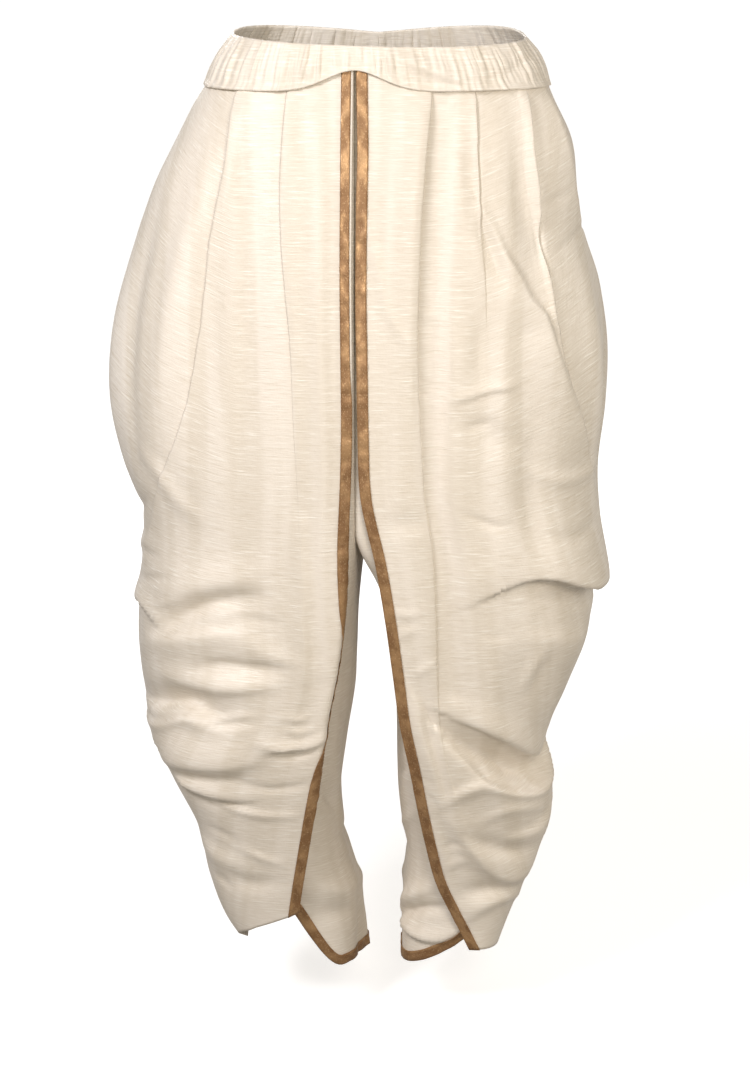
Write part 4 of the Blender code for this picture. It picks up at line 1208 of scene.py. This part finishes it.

# %% [markdown]
# ## Ride and replace
#
# Every piece is tied to the imported model: it rides on the one body and stands in for the solid of the same
# cloth, which is hidden. A table lists what size each cloth was cut to. The cut of what shows is wider than
# the shell, because cloth is taken up in each pleat.

# %% Tie the pieces to the frame
CUTS = {
    "draped_front_right": ("front_drape_right", (0.66, 1.03), 0.58, "draped"),
    "draped_front_left": ("front_drape_left", (0.66, 1.03), 0.56, "draped"),
    "under_leg_right": ("back_panel_right", (0.46, 1.03), 0.33, "hung"),
    "under_leg_left": ("back_panel_left", (0.46, 1.03), 0.33, "hung"),
    "waistband_cloth": ("waistband", (0.96, 0.046), None, "gathered"),
}
TRIMS = {
    "gold_strip_right": "front_border_right",
    "gold_strip_left": "front_border_left",
    "gold_hem_right": "hem_border_right",
    "gold_hem_left": "hem_border_left",
}
for name, piece in pieces.items():
    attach(piece, "root")
for name, node in TRIMS.items():
    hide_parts(node)
for name, (node, cut, area, held) in CUTS.items():
    side = name.rsplit("_", 1)[1]
    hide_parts(node)
print(len(pieces), "pieces ride on the frame")

# %% [markdown]
# ## Floor and light
#
# The garment is worn, so it stands clear of the floor by the height of an ankle. A cool lamp in front and
# to the left rakes across the cloth so that the satin shows its bands. Warm lamps in front and at the side
# fill its shade, one behind lights the seat, and a dim warm sky reaches the rest. The pale floor has a
# painted glow, dim near the garment so that its shadow shows and full further off, in place of the light
# on a paper backdrop. The floor is hidden from the cloth's own light, because light from below would
# flatten the folds.

# %% Make the floor, the sky and the lamps
FLOOR_Z = -1.085
FLOOR_REACH = 80.0
FLOOR_COLOUR = (0.9, 0.9, 0.9, 1.0)
FLOOR_GLOW = 0.86
# Colour of the floor's painted glow near the garment
FLOOR_NEAR_GLOW = (0.50, 0.50, 0.50, 1.0)
FLOOR_FADE = (1.3, 2.6)
SKY_STRENGTH = 0.34
SKY_COLOUR = (1.0, 0.93, 0.84, 1.0)
LAMPS = (
    # name, place, aimed at, width, height, watts, colour
    ("key", (-1.25, -1.75, 1.05), (0.0, 0.0, -0.25), 0.7, 0.7, 42.0, (0.97, 0.955, 1.0)),
    ("front", (0.45, -2.45, 0.40), (0.0, 0.0, -0.5), 0.8, 0.8, 27.0, (1.0, 0.94, 0.86)),
    ("side", (2.2, -0.7, 0.2), (0.0, 0.0, -0.5), 0.6, 1.2, 12.0, (1.0, 0.94, 0.86)),
    ("back", (-0.9, 2.6, 0.9), (0.0, 0.0, -0.4), 0.9, 0.9, 26.0, (1.0, 1.0, 1.0)),
)

floor_mesh = bpy.data.meshes.new("floor")
corners = [(x * FLOOR_REACH, y * FLOOR_REACH, FLOOR_Z) for x, y in ((-1, -1), (1, -1), (1, 1), (-1, 1))]
floor_mesh.from_pydata(corners, [], [(0, 1, 2, 3)])
floor = in_scene("floor", floor_mesh)
paper, shader, cloth = new_material(
    "pale paper", {"Base Color": FLOOR_COLOUR, "Roughness": 0.9, "Emission Strength": FLOOR_GLOW}
)
place = cloth.node("ShaderNodeTexCoord", output="Object")
away = cloth.node("ShaderNodeVectorMath", {"operation": "LENGTH"}, {0: place}, output="Value")
# Painted glow: the floor's emission is dim near the garment, so that its shadow shows, and full further off
feed(shader, Emission_Color=away.between(*FLOOR_FADE).mixed(FLOOR_NEAR_GLOW, FLOOR_COLOUR))
floor.data.materials.append(paper)
floor.visible_diffuse = False
floor.visible_glossy = False

world = bpy.data.worlds.new("pale sky")
world.use_nodes = True
world.node_tree.nodes["Background"].inputs["Color"].default_value = SKY_COLOUR
world.node_tree.nodes["Background"].inputs["Strength"].default_value = SKY_STRENGTH
bpy.context.scene.world = world
bpy.context.scene.view_settings.view_transform = "Standard"

for name, place, aim, width, height, watts, colour in LAMPS:
    lamp = bpy.data.lights.new(name, "AREA")
    lamp.shape = "RECTANGLE"
    lamp.size, lamp.size_y, lamp.energy, lamp.color = width, height, watts, colour
    stand = in_scene(name, lamp)
    stand.location = place
    aimed = np.array(aim) - np.array(place)
    level = math.hypot(aimed[0], aimed[1])
    stand.rotation_euler = (math.atan2(level, -aimed[2]), 0.0, math.atan2(-aimed[0], aimed[1]))
print(len(LAMPS), "lamps and a sky of strength", SKY_STRENGTH)
